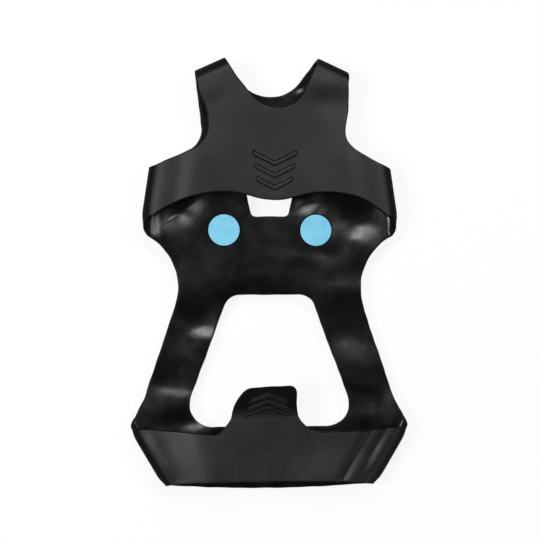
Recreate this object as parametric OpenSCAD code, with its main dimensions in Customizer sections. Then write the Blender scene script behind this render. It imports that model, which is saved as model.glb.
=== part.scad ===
// Rubber overshoe ice cleat, lying flat on its spikes: a studded sole, an upper toe web folded over it
// at two toe straps and two side wings, two elastic arms, and a heel plate under a heel band with a tab.
// X is across the foot, Y points to the toe, Z is up. Lengths are in millimetres, angles in degrees.

/* [Levels] */
// Thickness of the sole, its tread layer included
sole_t = 3; // [2.4:0.1:4.5]
// Thickness of the tread layer, the outer part of the sole
tread_t = 0.8; // [0.5:0.1:1.2]
// Thickness of the toe web, the heel band and the pull tab
web_t = 2.4; // [1.6:0.1:3.2]
// Clear height between the sole and the upper when the cleat lies flat
pocket_h = 6; // [4.5:0.1:10]
// Height of the tread lugs under the sole
lug_h = 2.6; // [1.5:0.1:3.5]
// Height of the rubber collars around the studs under the sole
collar_h = 2.4; // [1.6:0.1:3.5]

/* [Lengths from heel to toe] */
// Depth of the heel plate
heel_len = 30.4; // [26:0.1:40]
// Length of the opening under the arch
arch_len = 68; // [55:0.5:90]
// Length of the forefoot sole at its centre line
forefoot_len = 100.6; // [92:0.1:120]
// Rise of the toe straps above the lowest point of the sole's neckline
strap_rise = 21; // [16:0.1:26]

/* [Toe straps] */
// Distance of the straps' inner corners from the centre line
strap_x = 23.6; // [22:0.1:27]
// Width of a strap along its fold
strap_w = 17.7; // [13:0.1:22]
// Slant of the strap folds
strap_turn = 24.5; // [10:0.5:35]
// Radius of the sole's neckline
neck_r = 20; // [14:0.1:21]
// Radius of the web's neckline
web_neck_r = 17; // [12:0.1:19]
// How much deeper the web's neckline is cut than the sole's
web_neck_drop = 5.2; // [1:0.1:10]

/* [Side wings] */
// Distance of the armhole corner from the centre line
armhole_x = 33.7; // [30:0.1:38]
// Depth of the armhole corner behind the sole's neckline
armhole_drop = 22.7; // [18:0.1:28]
// Radius in the armhole
armhole_r = 12; // [6:0.5:16]
// Slope of the shoulder edge from the armhole to the wing
shoulder_slope = 26; // [18:0.5:34]
// Distance of the wing folds' front ends from the centre line
wing_x = 56; // [50:0.1:62]
// Slant of the wing folds
wing_tilt = 8.5; // [2:0.5:14]

/* [Toe web] */
// Distance of the web's rear edge from the arch opening
web_rear = 49.3; // [44:0.1:54]
// Radius of the lobe in the middle of the web's rear edge
lobe_r = 37; // [30:0.5:45]
// Radius of the hollow at each side of the lobe
hollow_r = 52; // [46:0.5:58]
// Distance of the hollows' crowns from the centre line
hollow_x = 26.5; // [22:0.5:31]
// Number of chevrons on the web
web_chevrons = 3; // [1:1:4]
// Half width of the front chevron on the web
chevron_w = 11.2; // [8:0.1:14]
// Spacing of the chevrons on the web
chevron_pitch = 6.2; // [4:0.1:7]
// Width of a chevron's bar on the web
chevron_bar = 1.75; // [1:0.05:2.5]
// Height of the chevrons
chevron_h = 0.6; // [0.3:0.1:1]
// Slope of the chevrons' arms on the web
chevron_slope = 27; // [18:1:35]
// How much narrower each chevron is than the last, at each side
chevron_step = 1; // [0:0.1:1.5]

/* [Window in the sole] */
// Length of the window
window_len = 26.2; // [18:0.1:30]
// Width of the window's front edge
window_front_w = 31; // [22:0.1:34]
// Width of the window's rear edge
window_rear_w = 20; // [14:0.1:22]
// Radius of the window's corners
window_r = 3.2; // [1:0.1:5]
// Distance of the window from the arch opening
window_y = 40.1; // [37:0.1:43]

/* [Waist and arms] */
// Half width of the waist
waist_x = 46.6; // [44:0.1:50]
// Radius of the waist
waist_r = 31; // [27:0.5:35]
// Distance of the narrowest point of the waist in front of the arch opening
waist_y = 4; // [1:0.1:8]
// Splay of the arms' outer edges
arm_splay = 18.5; // [16:0.1:21]
// Half width of the arch opening at its front edge
arch_front_x = 21.6; // [18:0.1:24]
// Half width of the arch opening at its rear edge
arch_rear_x = 47; // [42:0.1:49]
// Radius of the arch opening's front corners
arch_front_r = 6.5; // [3:0.1:8]
// Radius of the arch opening's rear corners
arch_rear_r = 12; // [6:0.1:14]

/* [Heel] */
// Half width of the heel plate's rear edge
heel_x = 47.4; // [44:0.1:51]
// Slant of the heel folds
heel_turn = 30.5; // [26:0.5:33]
// Length of the heel folds along the plate
heel_side_len = 42; // [37:0.1:44]
// Where the arms flare out to the heel, in front of the plate's front edge
flare_y = 14.6; // [13:0.1:18]
// Radius of the flare
flare_r = 18; // [8:1:24]
// Strip of the heel plate that shows behind the heel band
band_inset = 4.4; // [2:0.1:8]
// How far the band's front edge dips towards the tab
band_dip = 3.2; // [1:0.1:5]

/* [Pull tab] */
// Length of the pull tab from the band's front edge
tab_len = 24.8; // [20:0.1:30]
// Half width of the tab at its root
tab_root_x = 16.8; // [13:0.1:20]
// Half width of the tab at its tip
tab_tip_x = 15.3; // [12:0.1:18]
// Radius of the tab's tip corners
tab_r = 5; // [2:0.1:7]
// Radius between the tab and the band
tab_fillet_r = 11.5; // [5:0.1:13]
// Distance of the line where the tab bends from the band's front edge
tab_bend = 9.2; // [7:0.1:9.6]
// Number of chevrons on the tab
tab_chevrons = 3; // [1:1:3]
// Half width of the rear chevron on the tab
tab_chevron_w = 10.8; // [7:0.1:11.5]
// Spacing of the chevrons on the tab
tab_chevron_pitch = 2.9; // [2.4:0.1:3.2]
// Slope of the chevrons' arms on the tab
tab_chevron_slope = 24; // [18:1:26]
// Distance of the rear chevron from the tab's bend
tab_chevron_y = 0.6; // [0.3:0.1:1]
// Width of a chevron's bar on the tab
tab_chevron_bar = 1.1; // [0.8:0.05:1.5]

/* [Studs] */
// Distance of the toe studs from the centre line
toe_stud_x = 17.8; // [14:0.1:20]
// Distance of the toe studs behind the sole's neckline
toe_stud_y = 20.7; // [17:0.1:24]
// Distance of the ball studs from the centre line
ball_stud_x = 23.7; // [22:0.1:28]
// Distance of the ball studs in front of the arch opening
ball_stud_y = 33.6; // [24:0.1:37]
// Distance of the heel studs from the centre line
heel_stud_x = 20.6; // [14:0.1:26]
// Distance of the heel studs in front of the heel's rear edge
heel_stud_y = 16.5; // [14:0.1:18]
// Diameter of the outer stud discs
disc_d = 13.8; // [11:0.1:15]
// Thickness of the outer stud discs
disc_t = 1.6; // [1.2:0.1:2.4]
// How far the discs stand proud of their collars
disc_proud = 0.8; // [0.4:0.1:1]
// Edge chamfer of the discs
disc_chamfer = 0.3; // [0.1:0.05:0.5]
// Width of the collar's rim around a disc
collar_rim = 1.25; // [0.8:0.05:2]
// Diameter of the inner backing discs
backing_d = 16; // [13:0.1:18]
// Thickness of the inner backing discs
backing_t = 0.8; // [0.5:0.1:1.2]
// Diameter of the hub that carries a disc through the sole
hub_d = 6; // [5.4:0.1:8]
// Height of the spike points under the discs
spike_h = 2.2; // [1.5:0.1:4]
// Diameter of a spike point at the disc
spike_d = 2.4; // [1.6:0.1:2.8]
// Diameter of the flat at a spike's tip
tip_d = 1; // [0.4:0.1:1.4]
// Diameter of the spikes' shanks
shank_d = 3; // [2.8:0.1:3.6]
// Diameter of the spikes' heads
head_d = 4.2; // [3.9:0.1:4.8]
// Thickness of the spikes' heads
head_t = 0.8; // [0.5:0.1:1.2]

/* [Tread] */
// Spacing of the lug clusters across the sole
lug_pitch = 9.9; // [9.4:0.1:12]
// Width of a lug
lug_w = 3; // [2:0.1:3.4]
// Length of a lug
lug_len = 4.4; // [3:0.1:4.8]
// Distance of the side lugs from their cluster's centre
lug_side = 2.9; // [2.6:0.1:3.2]
// Distance of the front and rear lugs from their cluster's centre
lug_end = 4.3; // [3.8:0.1:4.8]
// Spacing of the rows of lug clusters
row_pitch = 14.6; // [13.6:0.1:16]
// Number of rows on the forefoot
forefoot_rows = 6; // [4:1:6]
// Distance of the first forefoot row in front of the arch opening
forefoot_row_y = 15.4; // [10:0.1:18]
// Half width of the forefoot's tread
tread_x = 48.5; // [40:0.5:50]
// Number of rows on the heel
heel_rows = 2; // [1:1:2]
// Distance of the first heel row in front of the heel's rear edge
heel_row_y = 11; // [8:0.1:13]
// Half width of the heel's tread
heel_tread_x = 39; // [30:0.5:41]
// Rubber left bare beside a lug
lug_margin = 0.6; // [0.3:0.1:1.5]

/* [Clearances] */
// Radial clearance of the hubs, shanks and heads
stud_fit = 0.05; // [0.02:0.01:0.15]
// Radial gap between a disc and its collar
disc_gap = 0.15; // [0.05:0.05:0.4]
// Radial gap between a backing disc and its recess
backing_gap = 0.2; // [0.05:0.05:0.4]

/* [Hidden] */
$fn = 64;
// Largest turn between two points of an arc
arc_step = 6;
// Overlap that joins the pieces of one moulding
bond = 0.2;
// Longer than anything that is cut
far = 200;

rubber = "#2b2c2a";
inner_rubber = "#1b1d1c";
stud_blue = "#7cc5de";
steel = "#c9ccce";

// Levels above the ground that the spikes stand on
cup_z = spike_h + disc_t;
collar_z = spike_h + disc_proud;
sole_out_z = collar_z + collar_h;
lug_z = sole_out_z - lug_h;
tread_in_z = sole_out_z + tread_t;
sole_in_z = sole_out_z + sole_t;
backing_z = sole_in_z - backing_t;
web_in_z = sole_in_z + pocket_h;
web_out_z = web_in_z + web_t;
fold_z = (sole_out_z + web_out_z) / 2;
fold_r = (web_out_z - sole_out_z) / 2;

// Stations from the heel's rear edge to the strap folds, centred on the origin
total_len = heel_len + arch_len + forefoot_len + strap_rise;
heel_rear_y = -total_len / 2;
heel_front_y = heel_rear_y + heel_len;
arch_y = heel_front_y + arch_len;
neck_y = arch_y + forefoot_len;
toe_y = neck_y + strap_rise;

// Geometry in the plane: directions, arcs, rounded corners and mirrored halves
function along(a) = [cos(a), sin(a)];
function angle_of(v) = atan2(v.y, v.x);
function flat(p) = [p.x, p.y];
function arc(c, r, a0, a1) =
    let (n = max(1, ceil(abs(a1 - a0) / arc_step)))
    [for (i = [0:n]) c + r * along(a0 + (a1 - a0) * i / n)];
// Points of the arc of radius r that is tangent to both edges of the corner p between a and b
function corner(a, p, b, r) =
    let (
        u = (a - p) / norm(a - p),
        v = (b - p) / norm(b - p),
        half = acos(u * v) / 2,
        c = p + (u + v) / norm(u + v) * r / sin(half),
        a0 = angle_of(p + u * r / tan(half) - c),
        turn = 180 - 2 * half,
        side = u.x * v.y - u.y * v.x > 0 ? -1 : 1
    )
    arc(c, r, a0, a0 + side * turn);
// Outline whose points [x, y, r] with a radius become tangent arcs
function rounded(p) =
    let (n = len(p))
    [for (i = [0:n - 1])
        each len(p[i]) == 2 ? [p[i]]
            : corner(flat(p[(i + n - 1) % n]), flat(p[i]), flat(p[(i + 1) % n]), p[i][2])];
// Outline from its right half, which starts and ends on the centre line
function mirrored(p) = [for (k = [0:len(p) - 1]) k == 0 ? -p[k] : p[k]];
function both_sides(h) = concat(h, [for (i = [len(h) - 1:-1:0]) if (h[i].x > 0.001) mirrored(h[i])]);
// Distance from p along direction d to the first point of a circle
function reach(p, d, c, r) =
    let (f = p - c, b = f * d)
    -b - sqrt(b * b - f * f + r * r);
// Right half of a neckline of radius r, from its lowest point to the edge that runs on to the corner p
function neckline(y, r, p) =
    let (c = [0, y + r], f = p - c)
    arc(c, r, -90, angle_of(f) - acos(r / norm(f)));

// Corners of the right half, where the flat panels meet the folds
strap_out = along(90 - strap_turn);
strap_inner = [strap_x, toe_y] - fold_r * strap_out;
strap_outer = strap_inner + strap_w * along(-strap_turn);
armhole = [armhole_x, neck_y - armhole_drop];
wing_front = [wing_x, armhole.y - (wing_x - armhole_x) * tan(shoulder_slope)];
wing_back = along(wing_tilt - 90);
waist_c = [waist_x + waist_r, arch_y + waist_y];
sole_wing_len = reach(wing_front, wing_back, waist_c, waist_r);
sole_wing_rear = wing_front + sole_wing_len * wing_back;
lobe_c = [0, arch_y + web_rear + lobe_r];
hollow_c = [hollow_x, lobe_c.y - sqrt(pow(lobe_r + hollow_r, 2) - pow(hollow_x, 2))];
web_wing_len = reach(wing_front, wing_back, hollow_c, hollow_r);
web_wing_rear = wing_front + web_wing_len * wing_back;
arm_out = along(arm_splay - 90);
arm_front = waist_c + waist_r * along(180 + arm_splay);
flare = arm_front + arm_out * (arm_front.y - heel_front_y - flare_y) / cos(arm_splay);
heel_forward = along(90 - heel_turn);
heel_rear = [heel_x, heel_rear_y];
heel_front = heel_rear + heel_side_len * heel_forward;
band_rear_y = heel_rear_y + band_inset;
band_rear_u = band_inset / cos(heel_turn);
band_front_u = heel_len / cos(heel_turn);
tab_root_y = heel_front_y - band_dip;
tab_tip_y = tab_root_y + tab_len;

// Where the sole bends at the arms and the tab bends from the band
front_cut_y = arm_front.y;
rear_cut_y = heel_front_y + arch_rear_r;
tab_cut_y = tab_root_y + tab_bend;

// Whole sole, from the straps to the heel's rear edge, as the right half of its outline
sole_half = concat(
    neckline(neck_y, neck_r, strap_inner),
    [strap_inner, strap_outer, concat(armhole, armhole_r), wing_front],
    arc(waist_c, waist_r, angle_of(sole_wing_rear - waist_c), 180 + arm_splay),
    [concat(flare, flare_r), heel_front, heel_rear, [0, heel_rear_y]]
);
web_half = concat(
    neckline(neck_y - web_neck_drop, web_neck_r, strap_inner),
    [strap_inner, strap_outer, concat(armhole, armhole_r), wing_front],
    arc(hollow_c, hollow_r, angle_of(web_wing_rear - hollow_c), angle_of(lobe_c - hollow_c)),
    arc(lobe_c, lobe_r, angle_of(hollow_c - lobe_c), -90)
);
arch_opening = [
    [arch_front_x, arch_y, arch_front_r],
    [arch_rear_x, heel_front_y, arch_rear_r],
    [-arch_rear_x, heel_front_y, arch_rear_r],
    [-arch_front_x, arch_y, arch_front_r]
];
window_rear_y = arch_y + window_y;
window_front_y = window_rear_y + window_len;
window_outline = [
    [window_front_w / 2, window_front_y, window_r],
    [window_rear_w / 2, window_rear_y, window_r],
    [-window_rear_w / 2, window_rear_y, window_r],
    [-window_front_w / 2, window_front_y, window_r]
];
band_half = [
    [0, tab_tip_y],
    [tab_tip_x, tab_tip_y, tab_r],
    [tab_root_x, tab_root_y, tab_fillet_r],
    heel_rear + band_front_u * heel_forward,
    heel_rear + band_rear_u * heel_forward,
    [0, band_rear_y]
];

// Studs: name and place
studs = [
    for (side = [["left", -1], ["right", 1]])
        each [
            [str("toe_", side[0]), [side[1] * toe_stud_x, neck_y - toe_stud_y]],
            [str("ball_", side[0]), [side[1] * ball_stud_x, arch_y + ball_stud_y]],
            [str("heel_", side[0]), [side[1] * heel_stud_x, heel_rear_y + heel_stud_y]]
        ]
];
collar_r = disc_d / 2 + disc_gap + collar_rim;
function clear_of_studs(p) = min([for (s = studs) norm(p - s[1])]) > collar_r + lug_w / 2;
function window_half(y) =
    (window_rear_w + (window_front_w - window_rear_w) * (y - window_rear_y) / window_len) / 2;
function clear_of_window(p) =
    p.y + lug_len / 2 + lug_margin < window_rear_y
    || p.y - lug_len / 2 - lug_margin > window_front_y
    || abs(p.x) - lug_w / 2 - lug_margin > window_half(p.y + lug_len / 2);
// Half width of the forefoot sole at the height y
function forefoot_half(y) =
    y > armhole.y ? armhole.x + (strap_outer.x - armhole.x) * (y - armhole.y) / (strap_outer.y - armhole.y)
    : y > wing_front.y ? armhole.x + (armhole.y - y) / tan(shoulder_slope)
    : y > sole_wing_rear.y ? wing_x
    : waist_c.x - sqrt(max(0, pow(waist_r, 2) - pow(y - waist_c.y, 2)));
function on_forefoot(p) = abs(p.x) + lug_w / 2 + lug_margin < min(tread_x, forefoot_half(p.y));
function on_heel(p) = abs(p.x) + lug_w / 2 < heel_tread_x;
// Centres of the lugs of the clusters in the given rows
cluster = [[0, lug_end], [0, -lug_end], [lug_side, 0], [-lug_side, 0]];
columns = ceil(tread_x / lug_pitch);
function lugs_in(rows, y0) =
    [for (i = [0:rows - 1], k = [-columns:columns - 1], o = cluster)
        [(k + 0.5) * lug_pitch, y0 + i * row_pitch] + o];
forefoot_lugs = [
    for (p = lugs_in(forefoot_rows, arch_y + forefoot_row_y))
        if (on_forefoot(p) && clear_of_studs(p) && clear_of_window(p)) p
];
heel_lugs = [
    for (p = lugs_in(heel_rows, heel_rear_y + heel_row_y))
        if (on_heel(p) && clear_of_studs(p)) p
];

moulding_nodes = [
    "forefoot_sole", "forefoot_tread", "toe_web",
    "toe_fold_left", "toe_fold_right", "side_fold_left", "side_fold_right",
    "arm_left", "arm_right",
    "heel_sole", "heel_tread", "heel_fold_left", "heel_fold_right",
    "heel_band", "pull_tab"
];

// Part of the sole between two stations, with its openings
module sole_area(y0, y1) {
    intersection() {
        difference() {
            polygon(rounded(both_sides(sole_half)));
            polygon(rounded(arch_opening));
            polygon(rounded(window_outline));
        }
        translate([-far / 2, y0]) square([far, y1 - y0]);
    }
}

module at_studs(y0, y1) {
    for (s = studs) {
        if (s[1].y > y0 && s[1].y < y1) translate(s[1]) children();
    }
}

module layer(z0, z1) {
    translate([0, 0, z0]) linear_extrude(z1 - z0) children();
}

module hole(r, z0, z1) {
    translate([0, 0, z0]) cylinder(r = r, h = z1 - z0);
}

// Inner layer of the sole, with the stud holes and the recesses of the backing discs
module sole_plate(y0, y1) {
    color(inner_rubber) difference() {
        layer(tread_in_z, sole_in_z) sole_area(y0, y1);
        at_studs(y0, y1) {
            hole(hub_d / 2 + stud_fit, 0, far);
            hole(backing_d / 2 + backing_gap, backing_z, far);
        }
    }
}

// Outer layer of the sole, with its lugs and the collars that hold the stud discs
module tread(y0, y1, lugs) {
    color(rubber) difference() {
        union() {
            layer(sole_out_z, tread_in_z) sole_area(y0, y1);
            layer(lug_z, sole_out_z + bond) intersection() {
                sole_area(y0, y1);
                for (p = lugs) translate(p) lug();
            }
            at_studs(y0, y1) hole(collar_r, collar_z, sole_out_z + bond);
        }
        at_studs(y0, y1) {
            hole(disc_d / 2 + disc_gap, 0, cup_z);
            hole(hub_d / 2 + stud_fit, 0, far);
        }
    }
}

module lug() {
    polygon([[lug_w / 2, 0], [0, lug_len / 2], [-lug_w / 2, 0], [0, -lug_len / 2]]);
}

// Row of V-shaped bars, each a little narrower than the last
module chevrons(count, half_w, pitch, bar, slope) {
    for (i = [0:count - 1]) {
        w = half_w - i * chevron_step;
        rise = w * tan(slope);
        translate([0, -i * pitch])
            polygon([[0, 0], [w, rise], [w, rise + bar], [0, bar], [-w, rise + bar], [-w, rise]]);
    }
}

module toe_web() {
    color(rubber) {
        layer(web_in_z, web_out_z) polygon(rounded(both_sides(web_half)));
        translate([0, lobe_c.y - lobe_r + chevron_pitch * web_chevrons])
            layer(web_out_z - bond, web_out_z + chevron_h)
                chevrons(web_chevrons, chevron_w, chevron_pitch, chevron_bar, chevron_slope);
    }
}

// Bend that joins the sole to the upper. It starts at the point p and faces the direction a. sole_u and
// web_u are the stretches along the bend that meet the sole and the upper, and slant skews its two ends.
module fold(p, a, sole_u, web_u, slant) {
    u0 = min(sole_u[0], web_u[0]);
    u1 = max(sole_u[1], web_u[1]);
    reach_out = fold_r + bond;
    color(rubber) translate(p) rotate(a) intersection() {
        rotate([90, 0, 0]) translate([0, 0, -far / 2]) linear_extrude(far) difference() {
            translate([0, fold_z]) circle(fold_r);
            translate([0, (sole_in_z + web_in_z) / 2]) circle(pocket_h / 2);
            translate([-far, 0]) square([far, far]);
        }
        rotate([90, 0, 90]) linear_extrude(reach_out) polygon([
            [sole_u[0], sole_out_z], [sole_u[0], sole_in_z], [web_u[0], web_in_z], [web_u[0], web_out_z],
            [web_u[1], web_out_z], [web_u[1], web_in_z], [sole_u[1], sole_in_z], [sole_u[1], sole_out_z]
        ]);
        linear_extrude(far) polygon([
            [0, u0], [reach_out, u0 + slant[0] * reach_out], [reach_out, u1 + slant[1] * reach_out], [0, u1]
        ]);
    }
}

module toe_fold_right() {
    fold(strap_outer, 90 - strap_turn, [0, strap_w], [0, strap_w], [0, 0]);
}

module side_fold_right() {
    shoulder = -tan(shoulder_slope + wing_tilt);
    fold(wing_front, wing_tilt, [-sole_wing_len, 0], [-web_wing_len, 0], [0, shoulder]);
}

module heel_fold_right() {
    fold(heel_rear, -heel_turn, [0, heel_side_len], [band_rear_u, band_front_u], [tan(heel_turn), 0]);
}

module to_left() {
    mirror([1, 0, 0]) children();
}

module arm_right() {
    color(inner_rubber) layer(sole_out_z, sole_in_z) intersection() {
        sole_area(rear_cut_y, front_cut_y);
        translate([0, -far / 2]) square(far);
    }
}

module heel_band() {
    color(rubber) layer(web_in_z, web_out_z) intersection() {
        polygon(rounded(both_sides(band_half)));
        translate([-far / 2, tab_cut_y - far]) square(far);
    }
}

module pull_tab() {
    color(rubber) {
        layer(web_in_z, web_out_z) intersection() {
            polygon(rounded(both_sides(band_half)));
            translate([-far / 2, tab_cut_y]) square(far);
        }
        point_y = tab_cut_y + tab_chevron_y + tab_chevron_bar + tab_chevron_w * tan(tab_chevron_slope);
        translate([0, point_y]) layer(web_out_z - bond, web_out_z + chevron_h) mirror([0, 1])
            chevrons(tab_chevrons, tab_chevron_w, tab_chevron_pitch, tab_chevron_bar, tab_chevron_slope);
    }
}

module stud_disc() {
    bore_r = shank_d / 2 + stud_fit;
    seat_r = head_d / 2 + stud_fit;
    head_z = backing_z - head_t;
    color(stud_blue) rotate_extrude() polygon([
        [bore_r, spike_h], [disc_d / 2 - disc_chamfer, spike_h], [disc_d / 2, spike_h + disc_chamfer],
        [disc_d / 2, cup_z], [hub_d / 2, cup_z], [hub_d / 2, backing_z], [seat_r, backing_z],
        [seat_r, head_z], [bore_r, head_z]
    ]);
}

module spike() {
    head_z = backing_z - head_t;
    color(steel) rotate_extrude() polygon([
        [0, 0], [tip_d / 2, 0], [spike_d / 2, spike_h], [shank_d / 2, spike_h], [shank_d / 2, head_z],
        [head_d / 2, head_z], [head_d / 2, backing_z], [0, backing_z]
    ]);
}

module stud_backing() {
    color(stud_blue) hole(backing_d / 2, backing_z, sole_in_z);
}

sole_plate(front_cut_y, far);  // forefoot_sole
tread(front_cut_y, far, forefoot_lugs);  // forefoot_tread
toe_web();
toe_fold_right();
to_left() toe_fold_right();  // toe_fold_left
side_fold_right();
to_left() side_fold_right();  // side_fold_left
arm_right();
to_left() arm_right();  // arm_left
sole_plate(-far, rear_cut_y);  // heel_sole
tread(-far, rear_cut_y, heel_lugs);  // heel_tread
heel_fold_right();
to_left() heel_fold_right();  // heel_fold_left
heel_band();
pull_tab();
for (s = studs) {
    translate(s[1]) stud_disc();
    translate(s[1]) spike();
    translate(s[1]) stud_backing();
}
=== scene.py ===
# %% [markdown]
# # A rubber ice cleat that stretches over a shoe
# The whole cleat but its studs is one black rubber moulding: a sole with a tread, an upper web that is
# folded over the toe, two elastic arms and a heel pocket with a pull tab. Six blue studs with steel
# spikes sit in it. The frame gives the levels, the studs and the lines at which the rubber bends, and
# this script makes the soft skin around them.

# %% Load the frame
import math

import bmesh
import bpy
import numpy as np
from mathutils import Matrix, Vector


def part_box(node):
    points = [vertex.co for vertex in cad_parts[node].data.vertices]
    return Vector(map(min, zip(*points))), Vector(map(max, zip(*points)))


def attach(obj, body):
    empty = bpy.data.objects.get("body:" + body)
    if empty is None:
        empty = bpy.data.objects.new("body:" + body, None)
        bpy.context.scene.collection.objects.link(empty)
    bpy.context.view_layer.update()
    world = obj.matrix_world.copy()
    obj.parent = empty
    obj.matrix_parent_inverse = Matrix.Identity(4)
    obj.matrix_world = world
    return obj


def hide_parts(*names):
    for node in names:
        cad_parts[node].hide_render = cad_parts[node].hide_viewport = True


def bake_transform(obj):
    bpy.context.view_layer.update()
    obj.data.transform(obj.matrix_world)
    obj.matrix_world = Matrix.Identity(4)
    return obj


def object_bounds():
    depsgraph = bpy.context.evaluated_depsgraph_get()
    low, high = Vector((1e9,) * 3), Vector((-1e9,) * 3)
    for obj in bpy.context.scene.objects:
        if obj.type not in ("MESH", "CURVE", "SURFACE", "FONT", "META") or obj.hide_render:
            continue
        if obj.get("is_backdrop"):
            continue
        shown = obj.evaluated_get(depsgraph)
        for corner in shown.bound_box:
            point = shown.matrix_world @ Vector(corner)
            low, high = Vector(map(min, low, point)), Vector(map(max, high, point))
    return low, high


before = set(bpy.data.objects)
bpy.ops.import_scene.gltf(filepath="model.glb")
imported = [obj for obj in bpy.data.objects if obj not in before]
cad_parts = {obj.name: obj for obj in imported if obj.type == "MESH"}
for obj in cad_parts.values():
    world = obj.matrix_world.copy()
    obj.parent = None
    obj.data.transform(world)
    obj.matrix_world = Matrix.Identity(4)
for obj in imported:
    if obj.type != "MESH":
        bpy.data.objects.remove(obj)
cad_low, cad_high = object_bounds()

# %% [markdown]
# ## Sizes
# Rubber is thin, so the levels matter most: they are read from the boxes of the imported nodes. What a box
# doesn't tell, such as a radius in an outline, is a named size in millimetres.

# %% Levels and stations, in millimetres
MM = 0.001


def box_mm(node):
    """Lowest and highest corner of a node, in millimetres."""
    low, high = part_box(node)
    return np.array(low) / MM, np.array(high) / MM


arm_low, arm_high = box_mm("arm_right")
band_low, band_high = box_mm("heel_band")
heel_low = box_mm("heel_sole")[0]
tab_low, tab_high = box_mm("pull_tab")
tread_low = box_mm("forefoot_tread")[0]

SOLE_OUT, SOLE_IN = arm_low[2], arm_high[2]
WEB_IN, WEB_OUT = band_low[2], band_high[2]
SOLE_T, WEB_T = SOLE_IN - SOLE_OUT, WEB_OUT - WEB_IN
SOLE_MID, WEB_MID = (SOLE_OUT + SOLE_IN) / 2, (WEB_IN + WEB_OUT) / 2
FOLD_R = (WEB_MID - SOLE_MID) / 2
FOLD_OUTER_R = (WEB_OUT - SOLE_OUT) / 2

TOE_Y = box_mm("toe_fold_right")[1][1]
ARM_REAR_Y = arm_low[1]
HEEL_REAR_Y, BAND_REAR_Y = heel_low[1], band_low[1]
TAB_CUT_Y, TAB_TIP_Y = tab_low[1], tab_high[1]
STRAP_RISE, FOREFOOT_LEN, ARCH_LEN = 21.0, 100.6, 68.0
NECK_Y = TOE_Y - STRAP_RISE
ARCH_Y = NECK_Y - FOREFOOT_LEN
HEEL_Y = ARCH_Y - ARCH_LEN

SIDES = ("left", "right")
STUDS = {
    f"{place}_{side}": np.mean(box_mm(f"stud_disc_{place}_{side}"), axis=0)[:2]
    for place in ("toe", "ball", "heel")
    for side in SIDES
}
print("sole", SOLE_OUT, "to", SOLE_IN, "mm, upper", WEB_IN, "to", WEB_OUT, "mm")

# %% [markdown]
# ## One function for nodes, one for colours
# Every finish below is a short graph of shader nodes. A colour is given as an sRGB hex value, and
# the shader wants linear light, so one function converts it.


# %% Colour and node helpers
def linear(hex_colour):
    """Linear RGBA of an sRGB hex colour: a straight foot for dark values, a power of 2.4 above it."""
    s = np.array([int(hex_colour[i : i + 2], 16) for i in (1, 3, 5)]) / 255
    rgb = np.where(s <= 0.04045, s / 12.92, ((s + 0.055) / 1.055) ** 2.4)
    return (*rgb.tolist(), 1.0)


def add(tree, kind, settings=None, sockets=None):
    """Adds a node, sets its properties, and fills its sockets with values or with other nodes' outputs."""
    made = tree.nodes.new(kind)
    for name, value in (settings or {}).items():
        setattr(made, name, value)
    for name, value in (sockets or {}).items():
        if isinstance(value, bpy.types.NodeSocket):
            tree.links.new(value, made.inputs[name])
        else:
            made.inputs[name].default_value = value
    return made


def new_material(name):
    """An empty material, its node tree, its shader and the Object coordinates that the patterns read."""
    material = bpy.data.materials.new(name)
    material.use_nodes = True
    tree = material.node_tree
    tree.nodes.clear()
    shader = add(tree, "ShaderNodeBsdfPrincipled")
    add(tree, "ShaderNodeOutputMaterial", None, {"Surface": shader.outputs["BSDF"]})
    place = add(tree, "ShaderNodeTexCoord").outputs["Object"]
    return material, tree, shader, place


def per_mm(size):
    """Noise scale whose blotches are about this many millimetres wide."""
    return 1 / (size * MM)


# The Mix node numbers its sockets: two inputs and an output for colours, and three more for values
COLOUR_A, COLOUR_B, COLOUR_OUT = 6, 7, 2
VALUE_A, VALUE_B, VALUE_OUT = 2, 3, 0


def drifting(tree, noise, limits, colours, roughness):
    """Colour and roughness that go from a first to a second value as a noise goes between its limits."""
    clipped = {"Value": noise.outputs["Fac"], "From Min": limits[0], "From Max": limits[1]}
    spread = add(tree, "ShaderNodeMapRange", None, clipped).outputs["Result"]
    tones = {"Factor": spread, COLOUR_A: linear(colours[0]), COLOUR_B: linear(colours[1])}
    tone = add(tree, "ShaderNodeMix", {"data_type": "RGBA"}, tones).outputs[COLOUR_OUT]
    dullness = {"Value": spread, "To Min": roughness[0], "To Max": roughness[1]}
    matt = add(tree, "ShaderNodeMapRange", None, dullness).outputs["Result"]
    return tone, matt


print("the grey #808080 is", round(linear("#808080")[0], 3), "in linear light")


# %% [markdown]
# ## Two finishes of one rubber
# The rubber is the same all through, but the mould is not. Its outer half is blasted, which leaves a fine
# satin grain that spreads the light. Its inner half is polished, so the foot side comes out glossy black,
# shows soft white reflections, and keeps every smudge. A single shader with one roughness would look
# like plastic film, so noise at several real sizes drives the roughness, the colour and the bump.


# %% Moulded rubber
RUBBER_IOR, RELIEF_STRENGTH = 1.52, 0.7


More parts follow.
